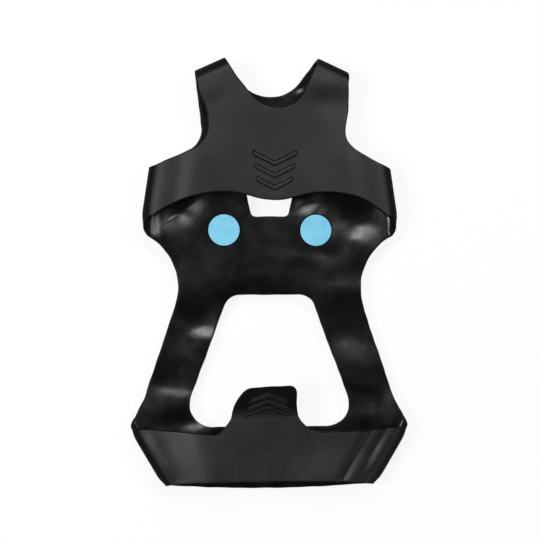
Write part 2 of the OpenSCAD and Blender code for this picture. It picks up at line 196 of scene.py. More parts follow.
def moulded_rubber(name, colours, roughness, specular, smudge_mm, dent, grain, bend=None):
    """Rubber between two colours and two roughnesses, both mixed by smudges. Soft dents and a fine grain,
    each a size and a depth in mm, are bumps. Rims and bends may get painted shade: a darker colour, a
    higher roughness and a weaker shine, which the mark named bend brings in."""
    material, tree, shader, place = new_material(name)
    smudge = add(
        tree,
        "ShaderNodeTexNoise",
        None,
        {"Vector": place, "Scale": per_mm(smudge_mm), "Detail": 5.0, "Roughness": 0.55, "Distortion": 0.6},
    )
    tone, matt = drifting(tree, smudge, (0.36, 0.66), colours, roughness)
    # Painted shade where the mark named bend is set: a darker colour, more roughness and a dimmed shine
    if bend:
        colour, shaded_roughness, shine = bend
        mark = add(tree, "ShaderNodeAttribute", {"attribute_name": "bend"}).outputs["Fac"]
        mixed = {"data_type": "RGBA"}
        tones = {"Factor": mark, COLOUR_A: tone, COLOUR_B: linear(colour)}
        tone = add(tree, "ShaderNodeMix", mixed, tones).outputs[COLOUR_OUT]
        dullness = {"Factor": mark, VALUE_A: matt, VALUE_B: shaded_roughness}
        matt = add(tree, "ShaderNodeMix", None, dullness).outputs[VALUE_OUT]
        shines = {"Factor": mark, COLOUR_A: linear("#ffffff"), COLOUR_B: linear(shine)}
        shaded_shine = add(tree, "ShaderNodeMix", mixed, shines).outputs[COLOUR_OUT]
        tree.links.new(shaded_shine, shader.inputs["Specular Tint"])
    normal = None
    for size, depth in (dent, grain):
        pattern = {"Vector": place, "Scale": per_mm(size), "Detail": 2.0}
        noise = add(tree, "ShaderNodeTexNoise", None, pattern)
        relief = {"Height": noise.outputs["Fac"], "Strength": RELIEF_STRENGTH, "Distance": depth * MM}
        if normal:
            relief["Normal"] = normal
        normal = add(tree, "ShaderNodeBump", None, relief).outputs["Normal"]
    tree.links.new(tone, shader.inputs["Base Color"])
    tree.links.new(matt, shader.inputs["Roughness"])
    tree.links.new(normal, shader.inputs["Normal"])
    shader.inputs["IOR"].default_value = RUBBER_IOR
    shader.inputs["Specular IOR Level"].default_value = specular
    return material


# Blasted side: an even dark grey with no sharp reflection. Its bends, rims and tab get painted shade, darker
# and duller. The grain is drawn at 0.9 mm, coarser than the real 0.1 mm, so that it still shows at half a
# millimetre a pixel.
SATIN_RUBBER = moulded_rubber(
    "BlastMouldedRubber",
    colours=("#191a18", "#1d1e1c"),
    roughness=(0.44, 0.52),
    specular=0.34,
    smudge_mm=14,
    dent=(22, 0.12),
    grain=(0.9, 0.035),
    # Painted shade on bends, rims and the tab: this colour, this roughness and this dimmed shine
    bend=("#0e0f0e", 0.75, "#404040"),
)
# Polished side: nearly black, with broad soft reflections that break up where the rubber is smudged
GLOSS_RUBBER = moulded_rubber(
    "PolishMouldedRubber",
    colours=("#060707", "#0a0b0b"),
    roughness=(0.24, 0.35),
    specular=0.45,
    smudge_mm=16,
    dent=(12, 0.4),
    grain=(2.5, 0.02),
)
print("rubber finishes:", SATIN_RUBBER.name, GLOSS_RUBBER.name)

# %% [markdown]
# ## Stud finishes
# The discs are a tough blue polymer, moulded and slightly matt, with faint cloudy flow marks. The spikes
# are hardened steel, turned and tumbled, so they are bright with a fine uneven polish.


# %% Moulded polymer and turned steel
def cloudy(name, colours, roughness, cloud_mm, metallic, bump_mm):
    """A finish whose colour and roughness drift between two values in soft clouds of a given size."""
    material, tree, shader, place = new_material(name)
    pattern = {"Vector": place, "Scale": per_mm(cloud_mm), "Detail": 3.0}
    cloud = add(tree, "ShaderNodeTexNoise", None, pattern)
    tone, matt = drifting(tree, cloud, (0.35, 0.65), colours, roughness)
    relief = {"Height": cloud.outputs["Fac"], "Strength": 0.5, "Distance": bump_mm * MM}
    bump = add(tree, "ShaderNodeBump", None, relief)
    tree.links.new(tone, shader.inputs["Base Color"])
    tree.links.new(matt, shader.inputs["Roughness"])
    tree.links.new(bump.outputs["Normal"], shader.inputs["Normal"])
    shader.inputs["Metallic"].default_value = metallic
    return material


# Polymer: even sky blue, a soft sheen and no mirror
BLUE_POLYMER = cloudy("MouldedBluePolymer", ("#75c5e2", "#7fcce7"), (0.42, 0.52), 5, 0.0, 0.01)
# Steel: pale grey that takes its light from the room
TURNED_STEEL = cloudy("TurnedHardenedSteel", ("#c4c7ca", "#d4d6d8"), (0.24, 0.36), 0.8, 1.0, 0.01)
print("stud finishes:", BLUE_POLYMER.name, TURNED_STEEL.name)

# %% [markdown]
# ## Paths
# The outline of the moulding is straight runs, arcs and rounded corners. Each is an array of points, so
# a panel's edge is a chain of such arrays.


# %% Path helpers
def heading(angle):
    """Unit vectors at angles in degrees, counted from +X towards +Y."""
    a = np.radians(angle)
    return np.stack([np.cos(a), np.sin(a)], -1)


def bearing(v):
    """Angle of a vector in degrees, the reverse of heading."""
    return math.degrees(math.atan2(v[1], v[0]))


def unit(v):
    """The vector divided by its length."""
    return v / np.linalg.norm(v)


def line(a, b, count):
    """count + 1 points at equal steps on the straight line from a to b."""
    t = np.linspace(0, 1, count + 1)[:, None]
    return (1 - t) * np.asarray(a, float) + t * np.asarray(b, float)


def arc(centre, radius, start, end, count):
    """count + 1 points round a centre, from one angle to another."""
    return np.asarray(centre, float) + radius * heading(np.linspace(start, end, count + 1))


def fillet(before, corner, after, radius, count):
    """Arc that touches both edges of a corner: its centre is on the bisector, radius / sin(half) away."""
    before, corner, after = (np.asarray(p, float) for p in (before, corner, after))
    u, v = unit(before - corner), unit(after - corner)
    half = math.acos(u @ v) / 2
    centre = corner + unit(u + v) * radius / math.sin(half)
    run = radius / math.tan(half)
    start = bearing(corner + u * run - centre)
    turn = (bearing(corner + v * run - centre) - start + 180) % 360 - 180
    return arc(centre, radius, start, start + turn, count)


def chain(*runs):
    """Runs of points in one path. Each later run starts where the one before it ends."""
    return np.concatenate([runs[0]] + [run[1:] for run in runs[1:]])


def respaced(path, count):
    """The path with count + 1 points at equal distances, read off along its running length."""
    steps = np.linalg.norm(np.diff(path, axis=0), axis=1)
    length = np.concatenate([[0], np.cumsum(steps)])
    at = np.linspace(0, length[-1], count + 1)
    return np.stack([np.interp(at, length, path[:, i]) for i in (0, 1)], -1)


def at_y(path, y):
    """Point at which a path that only rises in y passes the height y."""
    return np.array([np.interp(y, path[:, 1], path[:, 0]), y])


def stretch(path, y0, y1, count):
    """Part of a rising path between two heights, with count + 1 points at equal distances."""
    inside = path[(path[:, 1] > y0 + 1e-6) & (path[:, 1] < y1 - 1e-6)]
    return respaced(np.vstack([at_y(path, y0), inside, at_y(path, y1)]), count)


def first_hit(p, d, centre, radius):
    """Point where a ray from p along the unit vector d first meets a circle."""
    f = p - centre
    b = f @ d
    return p + d * (-b - math.sqrt(b * b - f @ f + radius * radius))


# %% [markdown]
# ## The outline
# Only the right half is drawn, because the moulding is the same on both sides. The corners lie where the
# flat panels run into the folds. The names are those of a garment: straps, neck, armholes, wings and a
# waist. The last number given to a run is its count of steps.

# %% Corners of the right half
STRAP_TURN, STRAP_X, STRAP_W = 24.5, 23.6, 17.7
ARMHOLE_X, ARMHOLE_DROP, ARMHOLE_R = 33.7, 22.7, 12.0
WING_X, WING_TILT, SHOULDER_SLOPE = 56.0, 8.5, 26.0
WAIST_X, WAIST_R, WAIST_Y, ARM_SPLAY = 46.6, 31.0, 4.0, 18.5
HEEL_X, HEEL_TURN, HEEL_SIDE, HEEL_BOW = 47.4, 30.5, 42.0, 2.2
FLARE_Y, FLARE_R = 14.6, 18.0

strap_out = heading(90 - STRAP_TURN)
strap_inner = np.array([STRAP_X, TOE_Y]) - FOLD_OUTER_R * strap_out
strap_outer = strap_inner + STRAP_W * heading(-STRAP_TURN)
armhole = np.array([ARMHOLE_X, NECK_Y - ARMHOLE_DROP])
shoulder_drop = (WING_X - ARMHOLE_X) * math.tan(math.radians(SHOULDER_SLOPE))
wing_front = np.array([WING_X, armhole[1] - shoulder_drop])
wing_out, wing_back = heading(WING_TILT), heading(WING_TILT - 90)
waist_centre = np.array([WAIST_X + WAIST_R, ARCH_Y + WAIST_Y])
sole_wing_rear = first_hit(wing_front, wing_back, waist_centre, WAIST_R)
arm_front = waist_centre + WAIST_R * heading(180 + ARM_SPLAY)
arm_run = (arm_front[1] - HEEL_Y - FLARE_Y) / math.cos(math.radians(ARM_SPLAY))
flare = arm_front + arm_run * heading(ARM_SPLAY - 90)
heel_out, heel_forward = heading(-HEEL_TURN), heading(90 - HEEL_TURN)
heel_rear = np.array([HEEL_X, HEEL_REAR_Y])
heel_front = heel_rear + HEEL_SIDE * heel_forward
heel_corner = heel_rear + HEEL_BOW * heel_forward

# Edges that only rise in y: the outside of the arm and waist, and the side of the opening under the arch
ARCH_FRONT_X, ARCH_REAR_X, ARCH_FRONT_R, ARCH_REAR_R = 21.6, 47.0, 9.0, 12.0
ARCH_INSET = 1.1
ARCH_FRONT_Y = ARCH_Y + ARCH_INSET
flare_bend = fillet(arm_front, flare, heel_front, FLARE_R, 12)
waist_bend = arc(
    waist_centre, WAIST_R, 180 + ARM_SPLAY, bearing(sole_wing_rear - waist_centre) % 360, 40
)
outer_edge = chain(
    line(heel_front, flare_bend[-1], 4), flare_bend[::-1], line(flare_bend[0], arm_front, 30), waist_bend
)
arch_corner = [ARCH_FRONT_X, ARCH_FRONT_Y]
arch_front = fillet([0, ARCH_FRONT_Y], arch_corner, [ARCH_REAR_X, HEEL_Y], ARCH_FRONT_R, 14)
arch_rear = fillet(arch_corner, [ARCH_REAR_X, HEEL_Y], [0, HEEL_Y], ARCH_REAR_R, 24)
# The side of the opening ends at this point of its rear corner, and the heel's front edge takes the rest
ARCH_MID = 14
arch_edge = chain(arch_rear[ARCH_MID::-1], line(arch_rear[0], arch_front[-1], 40), arch_front[::-1])
print("wing", wing_front.round(1), sole_wing_rear.round(1), "heel corner", heel_front.round(1))

# %% [markdown]
# ## Panels as patches between four edges
# A flat panel with a curved outline could be cut from a plane, but then its faces would be slivers that
# bend badly. A Coons patch fills the space between four edges with an even grid instead: it is a
# function of two parameters, and neighbours that share an edge share its points.


# %% Patch helper
def patch(bottom, top, left, right):
    """Blend of bottom and top, plus blend of left and right, less the blend of the four corners."""
    u = np.linspace(0, 1, len(bottom))[None, :, None]
    v = np.linspace(0, 1, len(left))[:, None, None]
    upright = (1 - v) * bottom[None] + v * top[None]
    across = (1 - u) * left[:, None] + u * right[:, None]
    low = (1 - u) * bottom[0] + u * bottom[-1]
    high = (1 - u) * top[0] + u * top[-1]
    return upright + across - (1 - v) * low - v * high


def mirrored(grid):
    """The grid on the other side of the centre line, its columns reversed so that it faces the same way."""
    return grid[..., ::-1, :] * np.array([-1.0, 1.0])


# %% [markdown]
# ### Forefoot sole
# The sole has a neckline between the toe straps and a window in its middle, so it takes three patches a
# side: from the window to the strap, the wing, and the rear. They meet in the middle of the window's
# corners and of the armhole's bend, so the edges are made first and cut there.

# %% Edges of the forefoot sole
WAIST_CUT = 6.2
WAIST_CUT_Y = ARCH_Y + WAIST_CUT
NECK_RISE, NECK_R = 0.9, 20.0
WINDOW_Y, WINDOW_LEN, WINDOW_R = 40.1, 26.2, 3.2
WINDOW_FRONT_X, WINDOW_REAR_X = 15.5, 10.0
STRAP_N, WING_N, CROSS_N = 28, 34, 48
HALF_ARMHOLE, HALF_CORNER = 8, 4


def neckline(y, radius, count):
    """Arc up from the centre line until it aims at the strap's corner, then the straight run to it."""
    centre = np.array([0, y + radius])
    f = strap_inner - centre
    end = bearing(f) - math.degrees(math.acos(radius / np.linalg.norm(f)))
    bend = arc(centre, radius, -90, end, 24)
    return respaced(chain(bend, line(bend[-1], strap_inner, 8)), count)


armhole_bend = fillet(strap_outer, armhole, wing_front, ARMHOLE_R, 2 * HALF_ARMHOLE)
armpit = armhole_bend[HALF_ARMHOLE]
armpit_to_strap = chain(armhole_bend[HALF_ARMHOLE::-1], line(armhole_bend[0], strap_outer, 10))
armpit_to_wing = chain(armhole_bend[HALF_ARMHOLE:], line(armhole_bend[-1], wing_front, 10))

sole_neck_y = NECK_Y + NECK_RISE
window_rear_y = ARCH_Y + WINDOW_Y
window_front_y = window_rear_y + WINDOW_LEN
front_corner = [WINDOW_FRONT_X, window_front_y]
rear_corner = [WINDOW_REAR_X, window_rear_y]
front_bend = fillet([0, window_front_y], front_corner, rear_corner, WINDOW_R, 2 * HALF_CORNER)
rear_bend = fillet(front_corner, rear_corner, [0, window_rear_y], WINDOW_R, 2 * HALF_CORNER)
front_half, front_rest = front_bend[: HALF_CORNER + 1], front_bend[: HALF_CORNER - 1 : -1]
rear_half, rear_rest = rear_bend[HALF_CORNER::-1], rear_bend[: HALF_CORNER - 1 : -1]
window_front = chain(line([0, window_front_y], front_bend[0], 8), front_half)
window_side = chain(rear_half, line(rear_bend[0], front_bend[-1], 12), front_rest)
window_rear = chain(line([0, window_rear_y], rear_bend[-1], 6), rear_rest)

to_armpit = line(front_bend[HALF_CORNER], armpit, 18)
to_wing = line(rear_bend[HALF_CORNER], sole_wing_rear, 40)
sole_wing = line(sole_wing_rear, wing_front, WING_N)
strap_base = line(strap_inner, strap_outer, STRAP_N)
waist_out = at_y(outer_edge, WAIST_CUT_Y)
print("window from", round(window_rear_y, 1), "to", round(window_front_y, 1), "mm")

# %% [markdown]
# Opposite edges of a patch need the same count of points, so each edge is spaced anew where it is handed
# over. An edge between two patches is one array that both of them use.

# %% Patches of the forefoot sole
sole_patches = [
    patch(
        chain(respaced(window_front, 10), to_armpit),
        strap_base,
        chain(line([0, window_front_y], [0, sole_neck_y], 26), neckline(sole_neck_y, NECK_R, 26)),
        respaced(armpit_to_strap, 52),
    ),
    patch(
        to_wing,
        chain(to_armpit, respaced(armpit_to_wing, 22)),
        respaced(window_side, WING_N),
        sole_wing,
    ),
    patch(
        line([0, WAIST_CUT_Y], waist_out, CROSS_N),
        chain(respaced(window_rear, 8), to_wing),
        line([0, WAIST_CUT_Y], [0, window_rear_y], 28),
        stretch(outer_edge, WAIST_CUT_Y, sole_wing_rear[1], 28),
    ),
]
print("sole patches:", [p.shape[:2] for p in sole_patches])

# %% [markdown]
# ### Toe web
# The rear edge of the web is a lobe that runs into a hollow on each side. Both are arcs that touch, so
# the hollow's centre follows from the two radii. The web takes two patches a side, which meet on a line
# from the armpit to the hollow.

# %% Edges and patches of the toe web
WEB_REAR, LOBE_R, HOLLOW_R, HOLLOW_X = 49.3, 37.0, 52.0, 26.5
WEB_NECK_R, WEB_NECK_DROP = 17.0, 5.2
HOLLOW_SPLIT = 18
web_neck_y = NECK_Y - WEB_NECK_DROP
web_rear_y = ARCH_Y + WEB_REAR
lobe_centre = np.array([0, web_rear_y + LOBE_R])
hollow_fall = math.sqrt((LOBE_R + HOLLOW_R) ** 2 - HOLLOW_X**2)
hollow_centre = np.array([HOLLOW_X, lobe_centre[1] - hollow_fall])
web_wing_rear = first_hit(wing_front, wing_back, hollow_centre, HOLLOW_R)
hollow_start, hollow_end = bearing(lobe_centre - hollow_centre), bearing(web_wing_rear - hollow_centre)
lobe = arc(lobe_centre, LOBE_R, -90, bearing(hollow_centre - lobe_centre), 20)
hollow = arc(hollow_centre, HOLLOW_R, hollow_start, hollow_end, 40)
web_rear_inner = chain(lobe, hollow[: HOLLOW_SPLIT + 1])
to_hollow = line(hollow[HOLLOW_SPLIT], armpit, WING_N)
web_wing = line(web_wing_rear, wing_front, WING_N)

web_patches = [
    patch(
        respaced(web_rear_inner, STRAP_N),
        strap_base,
        chain(line([0, web_rear_y], [0, web_neck_y], 34), neckline(web_neck_y, WEB_NECK_R, 28)),
        chain(to_hollow, respaced(armpit_to_strap, 28)),
    ),
    patch(
        respaced(hollow[HOLLOW_SPLIT:], 26),
        respaced(armpit_to_wing, 26),
        to_hollow,
        web_wing,
    ),
]
print("web patches:", [p.shape[:2] for p in web_patches])

# %% [markdown]
# ### Waist and arms
# The waist and the arms bend and stretch, so they are panels of their own, cut where the bend starts and
# ends. The waist reaches round the front corner of the opening, so it is split there into a strip before
# the opening and a strip beside it.

# %% Patches of the waist and the arms
ARM_CUT_Y = 2 * arm_high[1] - WAIST_CUT_Y
ARCH_N, ARCH_SPLIT = 16, 7
cross_x = waist_out[0] * ARCH_N / CROSS_N
arch_turn = arch_front[ARCH_SPLIT]
arch_before = chain(line([0, ARCH_FRONT_Y], arch_front[0], 10), arch_front[: ARCH_SPLIT + 1])
to_cut = line(arch_turn, [cross_x, WAIST_CUT_Y], 8)
waist_patches = [
    patch(
        respaced(arch_before, ARCH_N),
        line([0, WAIST_CUT_Y], [cross_x, WAIST_CUT_Y], ARCH_N),
        line([0, ARCH_FRONT_Y], [0, WAIST_CUT_Y], 8),
        to_cut,
    ),
    patch(
        line(at_y(arch_edge, ARM_CUT_Y), at_y(outer_edge, ARM_CUT_Y), CROSS_N - ARCH_N),
        line([cross_x, WAIST_CUT_Y], waist_out, CROSS_N - ARCH_N),
        chain(stretch(arch_edge, ARM_CUT_Y, arch_turn[1], 20), to_cut),
        stretch(outer_edge, ARM_CUT_Y, WAIST_CUT_Y, 28),
    ),
]
arm_rear = line(at_y(arch_edge, ARM_REAR_Y), at_y(outer_edge, ARM_REAR_Y), CROSS_N)
arm_patch = patch(
    arm_rear,
    line(at_y(arch_edge, ARM_CUT_Y), at_y(outer_edge, ARM_CUT_Y), CROSS_N),
    stretch(arch_edge, ARM_REAR_Y, ARM_CUT_Y, 40),
    stretch(outer_edge, ARM_REAR_Y, ARM_CUT_Y, 40),
)
print("waist bends from", round(WAIST_CUT_Y, 1), "to", round(ARM_CUT_Y, 1), "mm")

# %% [markdown]
# ### Heel plate
# The plate carries the two heel studs. One patch joins it to the arm, and one runs from the opening to
# the rear edge, which is a parabola from the middle to the corner.

# %% Patches of the heel plate
HEEL_N = 30
to_heel = line(arch_edge[0], heel_front, CROSS_N)
heel_side = line(heel_corner, heel_front, HEEL_N)
arch_rest = respaced(arch_rear[: ARCH_MID - 1 : -1], 8)
heel_front_edge = chain(line([0, HEEL_Y], arch_rear[-1], 26), arch_rest, to_heel)
across = np.linspace(0, 1, len(heel_front_edge))[:, None]
heel_rear_edge = np.array([0, HEEL_REAR_Y]) + across ** [1, 2] * (heel_corner - [0, HEEL_REAR_Y])
heel_patches = [
    patch(
        to_heel,
        arm_rear,
        stretch(arch_edge, arch_edge[0][1], ARM_REAR_Y, 8),
        stretch(outer_edge, heel_front[1], ARM_REAR_Y, 8),
    ),
    patch(
        heel_rear_edge,
        heel_front_edge,
        line([0, HEEL_REAR_Y], [0, HEEL_Y], HEEL_N),
        heel_side,
    ),
]
print("heel patches:", [p.shape[:2] for p in heel_patches])

# %% [markdown]
# ### Heel band and pull tab
# The tab grows out of the front edge of the band and is cut off where it bends. Its two corners are
# rounded differently, so each half is a patch of its own. The rear edge of the band is nearly straight
# and falls off at its corners, which a sixth power does.

# %% Patches of the band and the tab
BAND_DIP, BAND_CORNER, BAND_POWER = 3.2, 3.2, 6
TAB_ROOT_X, TAB_TIP_X, TAB_FILLET_R = 16.8, 15.3, 11.5
TAB_CORNERS = {"left": 8.5, "right": 3.0}
TAB_N, HALF_TAB_CORNER, HAIR = 12, 5, 0.001
heel_len = HEEL_Y - HEEL_REAR_Y
band_rear = heel_rear + heel_forward * BAND_CORNER
band_front = heel_rear + heel_forward * heel_len / heel_forward[1]
band_side = line(band_rear, band_front, HEEL_N)
tab_tip, tab_root = [TAB_TIP_X, TAB_TIP_Y], [TAB_ROOT_X, HEEL_Y - BAND_DIP]
root_bend = fillet(tab_tip, tab_root, band_front, TAB_FILLET_R, 24)


def tab_outline(radius):
    """The tab's side from its root up, and its tip from the centre line out. A fillet of the radius joins
    them, halved where they meet."""
    bend = fillet([0, TAB_TIP_Y], tab_tip, tab_root, radius, 2 * HALF_TAB_CORNER)
    side = chain(root_bend[::-1], line(root_bend[0], bend[-1], 10), bend[: HALF_TAB_CORNER - 1 : -1])
    return side, chain(line([0, TAB_TIP_Y], bend[0], 6), bend[: HALF_TAB_CORNER + 1])


tab_edge = tab_outline(TAB_CORNERS["right"])[0]
tab_cut = line([0, TAB_CUT_Y], at_y(tab_edge, TAB_CUT_Y), TAB_N)
root_below_cut = stretch(tab_edge, root_bend[-1][1] + HAIR, TAB_CUT_Y, 20)[::-1]
beside_tab = np.vstack([root_below_cut, line(root_bend[-1], band_front, 30)])
band_front_edge = chain(tab_cut, respaced(beside_tab, 46))
across = np.linspace(0, 1, len(band_front_edge))[:, None]
band_rear_edge = np.array([0, BAND_REAR_Y]) + across ** [1, BAND_POWER] * (band_rear - [0, BAND_REAR_Y])
band_patch = patch(
    band_rear_edge,
    band_front_edge,
    line([0, BAND_REAR_Y], [0, TAB_CUT_Y], HEEL_N),
    band_side,
)


def tab_patch(radius):
    """The right half of the tab, with its corner rounded by the radius."""
    side, tip = tab_outline(radius)
    return patch(
        tab_cut,
        respaced(tip, TAB_N),
        line([0, TAB_CUT_Y], [0, TAB_TIP_Y], 18),
        stretch(side, TAB_CUT_Y, tip[-1][1], 18),
    )


tab_patches = [tab_patch(TAB_CORNERS["right"]), mirrored(tab_patch(TAB_CORNERS["left"]))]
print("band patch:", band_patch.shape[:2], "tab patches:", [p.shape[:2] for p in tab_patches])

# %% [markdown]
# ## Gentle waves
# Rubber that lies about is never flat: the wings curl up towards their folds, the web sags between its
# folds, the arms twist a little and the tab hangs. They could be sculpted, but then two panels would no
# longer meet at their seam. So the waves are small formulas of x and y that all panels share. The first
# cell has the shapes that they are made of.


# %% Shapes of waves
def hump(t):
    """A bell of height 1 around 0: the exponential of minus t squared."""
    return np.exp(-(t**2))


def ease(t):
    """0 below 0, 1 above 1, and a smooth S between them."""
    t = np.clip(t, 0, 1)
    return t * t * (3 - 2 * t)


def step(v, start, end):
    """0 at the start, 1 at the end and a smooth S between them. The end may be the lower of the two."""
    return ease((v - start) / (end - start))


def ridge(d, start, crest, end):
    """0 up to start, 1 at the crest and 0 from end on, with smooth slopes."""
    return step(d, start, crest) * step(d, end, crest)


def curl(t):
    """Rise of a strip that bends between 0 and 1 and then runs straight: the integral of ease."""
    bend = np.clip(t, 0, 1)
    return bend**3 - bend**4 / 2 + np.maximum(t - 1, 0)


def dip(d, lead, run):
    """Parabola over the run beside a bend, with the lead's slope at the bend. The upper falls by it into
    its folds, and the sole rises by it into the curl of its wings."""
    return math.tan(math.radians(lead)) * run / 2 * np.clip(1 - d / run, 0, 1) ** 2


def inward(x, y, corner, out):
    """Distance inside a fold's base line, the same at the left and the right."""
    return (corner[0] - np.abs(x)) * out[0] + (corner[1] - y) * out[1]


# %% [markdown]
# The polished foot side shows a white streak wherever the rubber leans towards a light. A leaning streak
# is a small tilted plane that fades out all round, so it is set by a place, a direction and the way that
# it faces. The left wing also has a crease, which ends the streaks beside it sharply.


# %% Streaks and creases
def leaning(x, y, leans):
    """Sum of streaks that lean: each is a plane that falls towards its facing, faded out by bells along
    and across the streak."""
    height = 0.0
    for cx, cy, angle, length, width, slope, facing in leans:
        (ax, ay), (bx, by), (fx, fy) = heading(angle), heading(angle + 90), heading(facing)
        right, up = x - cx, y - cy
        fade = hump((right * ax + up * ay) / length) * hump((right * bx + up * by) / width)
        height = height - slope * (right * fx + up * fy) * fade
    return height


CREASE_FLOOR = 0.5


def crease(x, y, cx, cy, angle, length, reach, depth):
    """A valley with a narrow floor: the exponential of minus the distance over the reach, times a bell
    along it."""
    (ax, ay), (bx, by) = heading(angle), heading(angle + 90)
    along, across = (x - cx) * ax + (y - cy) * ay, (x - cx) * bx + (y - cy) * by
    return -depth * np.exp(-np.hypot(across, CREASE_FLOOR) / reach) * hump(along / length)


# Streaks that lean: x, y, direction in degrees, half length, half width, the slope, and where it faces
SOLE_LEANS = (
    (47.5, 20, -16, 14, 12, 0.34, 104),  # right wing
    (-47.8, 28, 36, 11, 8, 0.15, 40),  # left wing, at its crease
    (-47.5, 25.2, 36, 10, 7, 0.15, 92),  # left wing, behind its crease
    (-59.4, 24, 82, 9, 3, 0.2, 98),  # left wing, beside its fold
    (15.3, 93.4, 60, 3, 2.2, 0.33, 106),  # right strap, at the neck
    (-33.5, -30.8, -10, 13, 9, 0.34, 102),  # left arm, front
    (-50, -60.5, -20, 16, 6, 0.3, 102),  # left arm, rear
    (46.5, -39.5, 0, 13, 12, 0.31, 100),  # right arm, front
    (62, -65, -75, 12, 9, 0.27, 180),  # right arm, rear
    (-38, -79, 0, 9, 6, 0.42, 106),  # heel plate, at the opening's left corner
    (-54, -74, 0, 11, 6, 0.2, 270),  # foot of the left arm
    (52, -77.5, 0, 12, 5, 0.16, 270),  # foot of the right arm
    (52, -54, -70, 14, 8, 0.14, 100),  # right arm, middle
    (20, 33, 60, 8, 7, 0.36, 110),  # right of the window
    (37, -4, 10, 14, 9, 0.27, 100),  # right side of the waist
    (16, 9.5, -8, 14, 4.5, 0.13, 100),  # middle of the sole
    (33, 6, 20, 9, 6, 0.24, 100),  # behind the right stud
    (-43, 15, 20, 9, 7, 0.1, 110),  # behind the left wing
    (-5, -9, 0, 36, 10, 0.16, 270),  # front edge of the opening
)
WEB_LEANS = (
    (28, 92, -22, 13, 8, 0.28, 300),  # right strap
    (-29, 90, STRAP_TURN, 9, 4.5, 0.1, 270 + STRAP_TURN),  # left strap
)
BAND_LEANS = (
    (-43.5, -92, -61, 30, 14, 0.27, 180),  # left end
    (24, -98, 0, 17, 14, 0.12, 100),  # right of the middle
    (47.5, -97.5, 60, 12, 4.5, 0.26, 35),  # right end
)
# A crease: x, y, direction, half length, reach and depth
WING_CREASE = (-48, 29.6, 36, 14, 7, 1.7)
print("streaks on sole, web and band:", len(SOLE_LEANS), len(WEB_LEANS), len(BAND_LEANS))

# %% [markdown]
# The sole swells and then curls up to its wing folds, more at the left than at the right. It rises a
# little to the heel folds and the straps, its arms hang between waist and heel, and its rear edge droops.

# %% Waves of the sole
LEFT_CURL, RIGHT_CURL = (24, 5.0), (10, 7.0)
WING_SWELLS, WING_RUN, WING_POWER = (0.9, 0.4), 18, 1.5
HEEL_SWELL, HEEL_RUN, STRAP_SWELL, ARM_HANG, REAR_DROOP = 0.8, 14, 0.5, 1.4, 0.5
# Where in y each of them starts, and where it is full
WING_GROWS, HEEL_GROWS, STRAP_GROWS = (-14, 6), (-50, -78), (84, 96)
HANG_FRONT, HANG_REAR, DROOP_GROWS = (-6, -24), (-78, -60), (-105, -110)


def sole_wave(x, y):
    """Curl up to the wing and heel folds, arms that hang between waist and heel, and leaning streaks."""
    side = inward(x, y, wing_front, wing_out)
    swell = np.where(x < 0, *WING_SWELLS) * ease(1 - side / WING_RUN) ** WING_POWER
    rise = np.where(x < 0, dip(side, *LEFT_CURL), dip(side, *RIGHT_CURL))
    wing = step(y, *WING_GROWS) * (swell + rise)
    heel = step(y, *HEEL_GROWS) * ease(1 - inward(x, y, heel_rear, heel_out) / HEEL_RUN)
    strap = step(y, *STRAP_GROWS) * STRAP_SWELL
    arms = step(y, *HANG_FRONT) * step(y, *HANG_REAR)
    droop = step(y, *DROOP_GROWS) * REAR_DROOP
    streaks = leaning(x, y, SOLE_LEANS) + crease(x, y, *WING_CREASE)
    return wing + HEEL_SWELL * heel + strap - ARM_HANG * arms - droop + streaks


print("highest curl of the sole:", round(float(sole_wave(*sole_wing.T).max()), 2), "mm")

# %% [markdown]
# The web sags in its middle, swells before the wings and falls into its folds. As the cleat lies, it is
# also pulled a little to the right, and its neckline most. That moves its plan and not its height.

# %% Waves and drift of the web
# Where a panel falls into its bend: slope in degrees, and run
WING_LEAD, STRAP_LEAD, HEEL_LEAD = (12, 5.0), (5, 5.0), (30, 3.5)
WEB_SWELL, SWELL_RIDGE, SWELL_GROWS = 1.3, (8, 18, 40), (78, 56)
WEB_SAG, SAG_HALF, SAG_GROWS = 0.5, 24, (92, 62)
WEB_DRIFT, NECK_DRIFT, DRIFT_RUN = 1.8, 1.6, 16.0
DRIFT_Y, DRIFT_HALF = 82, 14


def web_wave(x, y):
    """Falls into the wing and strap folds, a broad swell inside the wings, a sag, and leaning streaks."""
    wing, strap = inward(x, y, wing_front, wing_out), inward(x, y, strap_inner, strap_out)
    swell = ridge(wing, *SWELL_RIDGE) * step(y, *SWELL_GROWS)
    sag = hump(x / SAG_HALF) * step(y, *SAG_GROWS)
    height = WEB_SWELL * swell - WEB_SAG * sag - dip(wing, *WING_LEAD) - dip(strap, *STRAP_LEAD)
    return height + leaning(x, y, WEB_LEANS)


def drifted(grid):
    """The web's plan pulled to the right, as it lies, most at the neck. The wing folds and the left strap
    hold it."""
    x, y = grid[..., 0], grid[..., 1]
    wing = ease(inward(x, y, wing_front, wing_out) / DRIFT_RUN)
    strap = np.where(x > 0, 1, ease(inward(x, y, strap_inner, strap_out) / DRIFT_RUN))
    pull = WEB_DRIFT + NECK_DRIFT * hump((y - DRIFT_Y) / DRIFT_HALF)
    return np.stack([x + pull * wing * strap, y], -1)


print("fall of the web into its wing folds:", round(float(dip(0.0, *WING_LEAD)), 2), "mm")

# %% [markdown]
# The heel band has a crown that falls slowly to the left. At the right, where the rubber was pushed
# together, it falls in ripples. The tab leans to the left, narrows at that side and curls up at its root.

# %% Waves of the band, and the lean of its tab
BAND_CROWN, LEFT_FALL, RIGHT_FALL = 1.2, (4, 30), (11.5, 16.5)
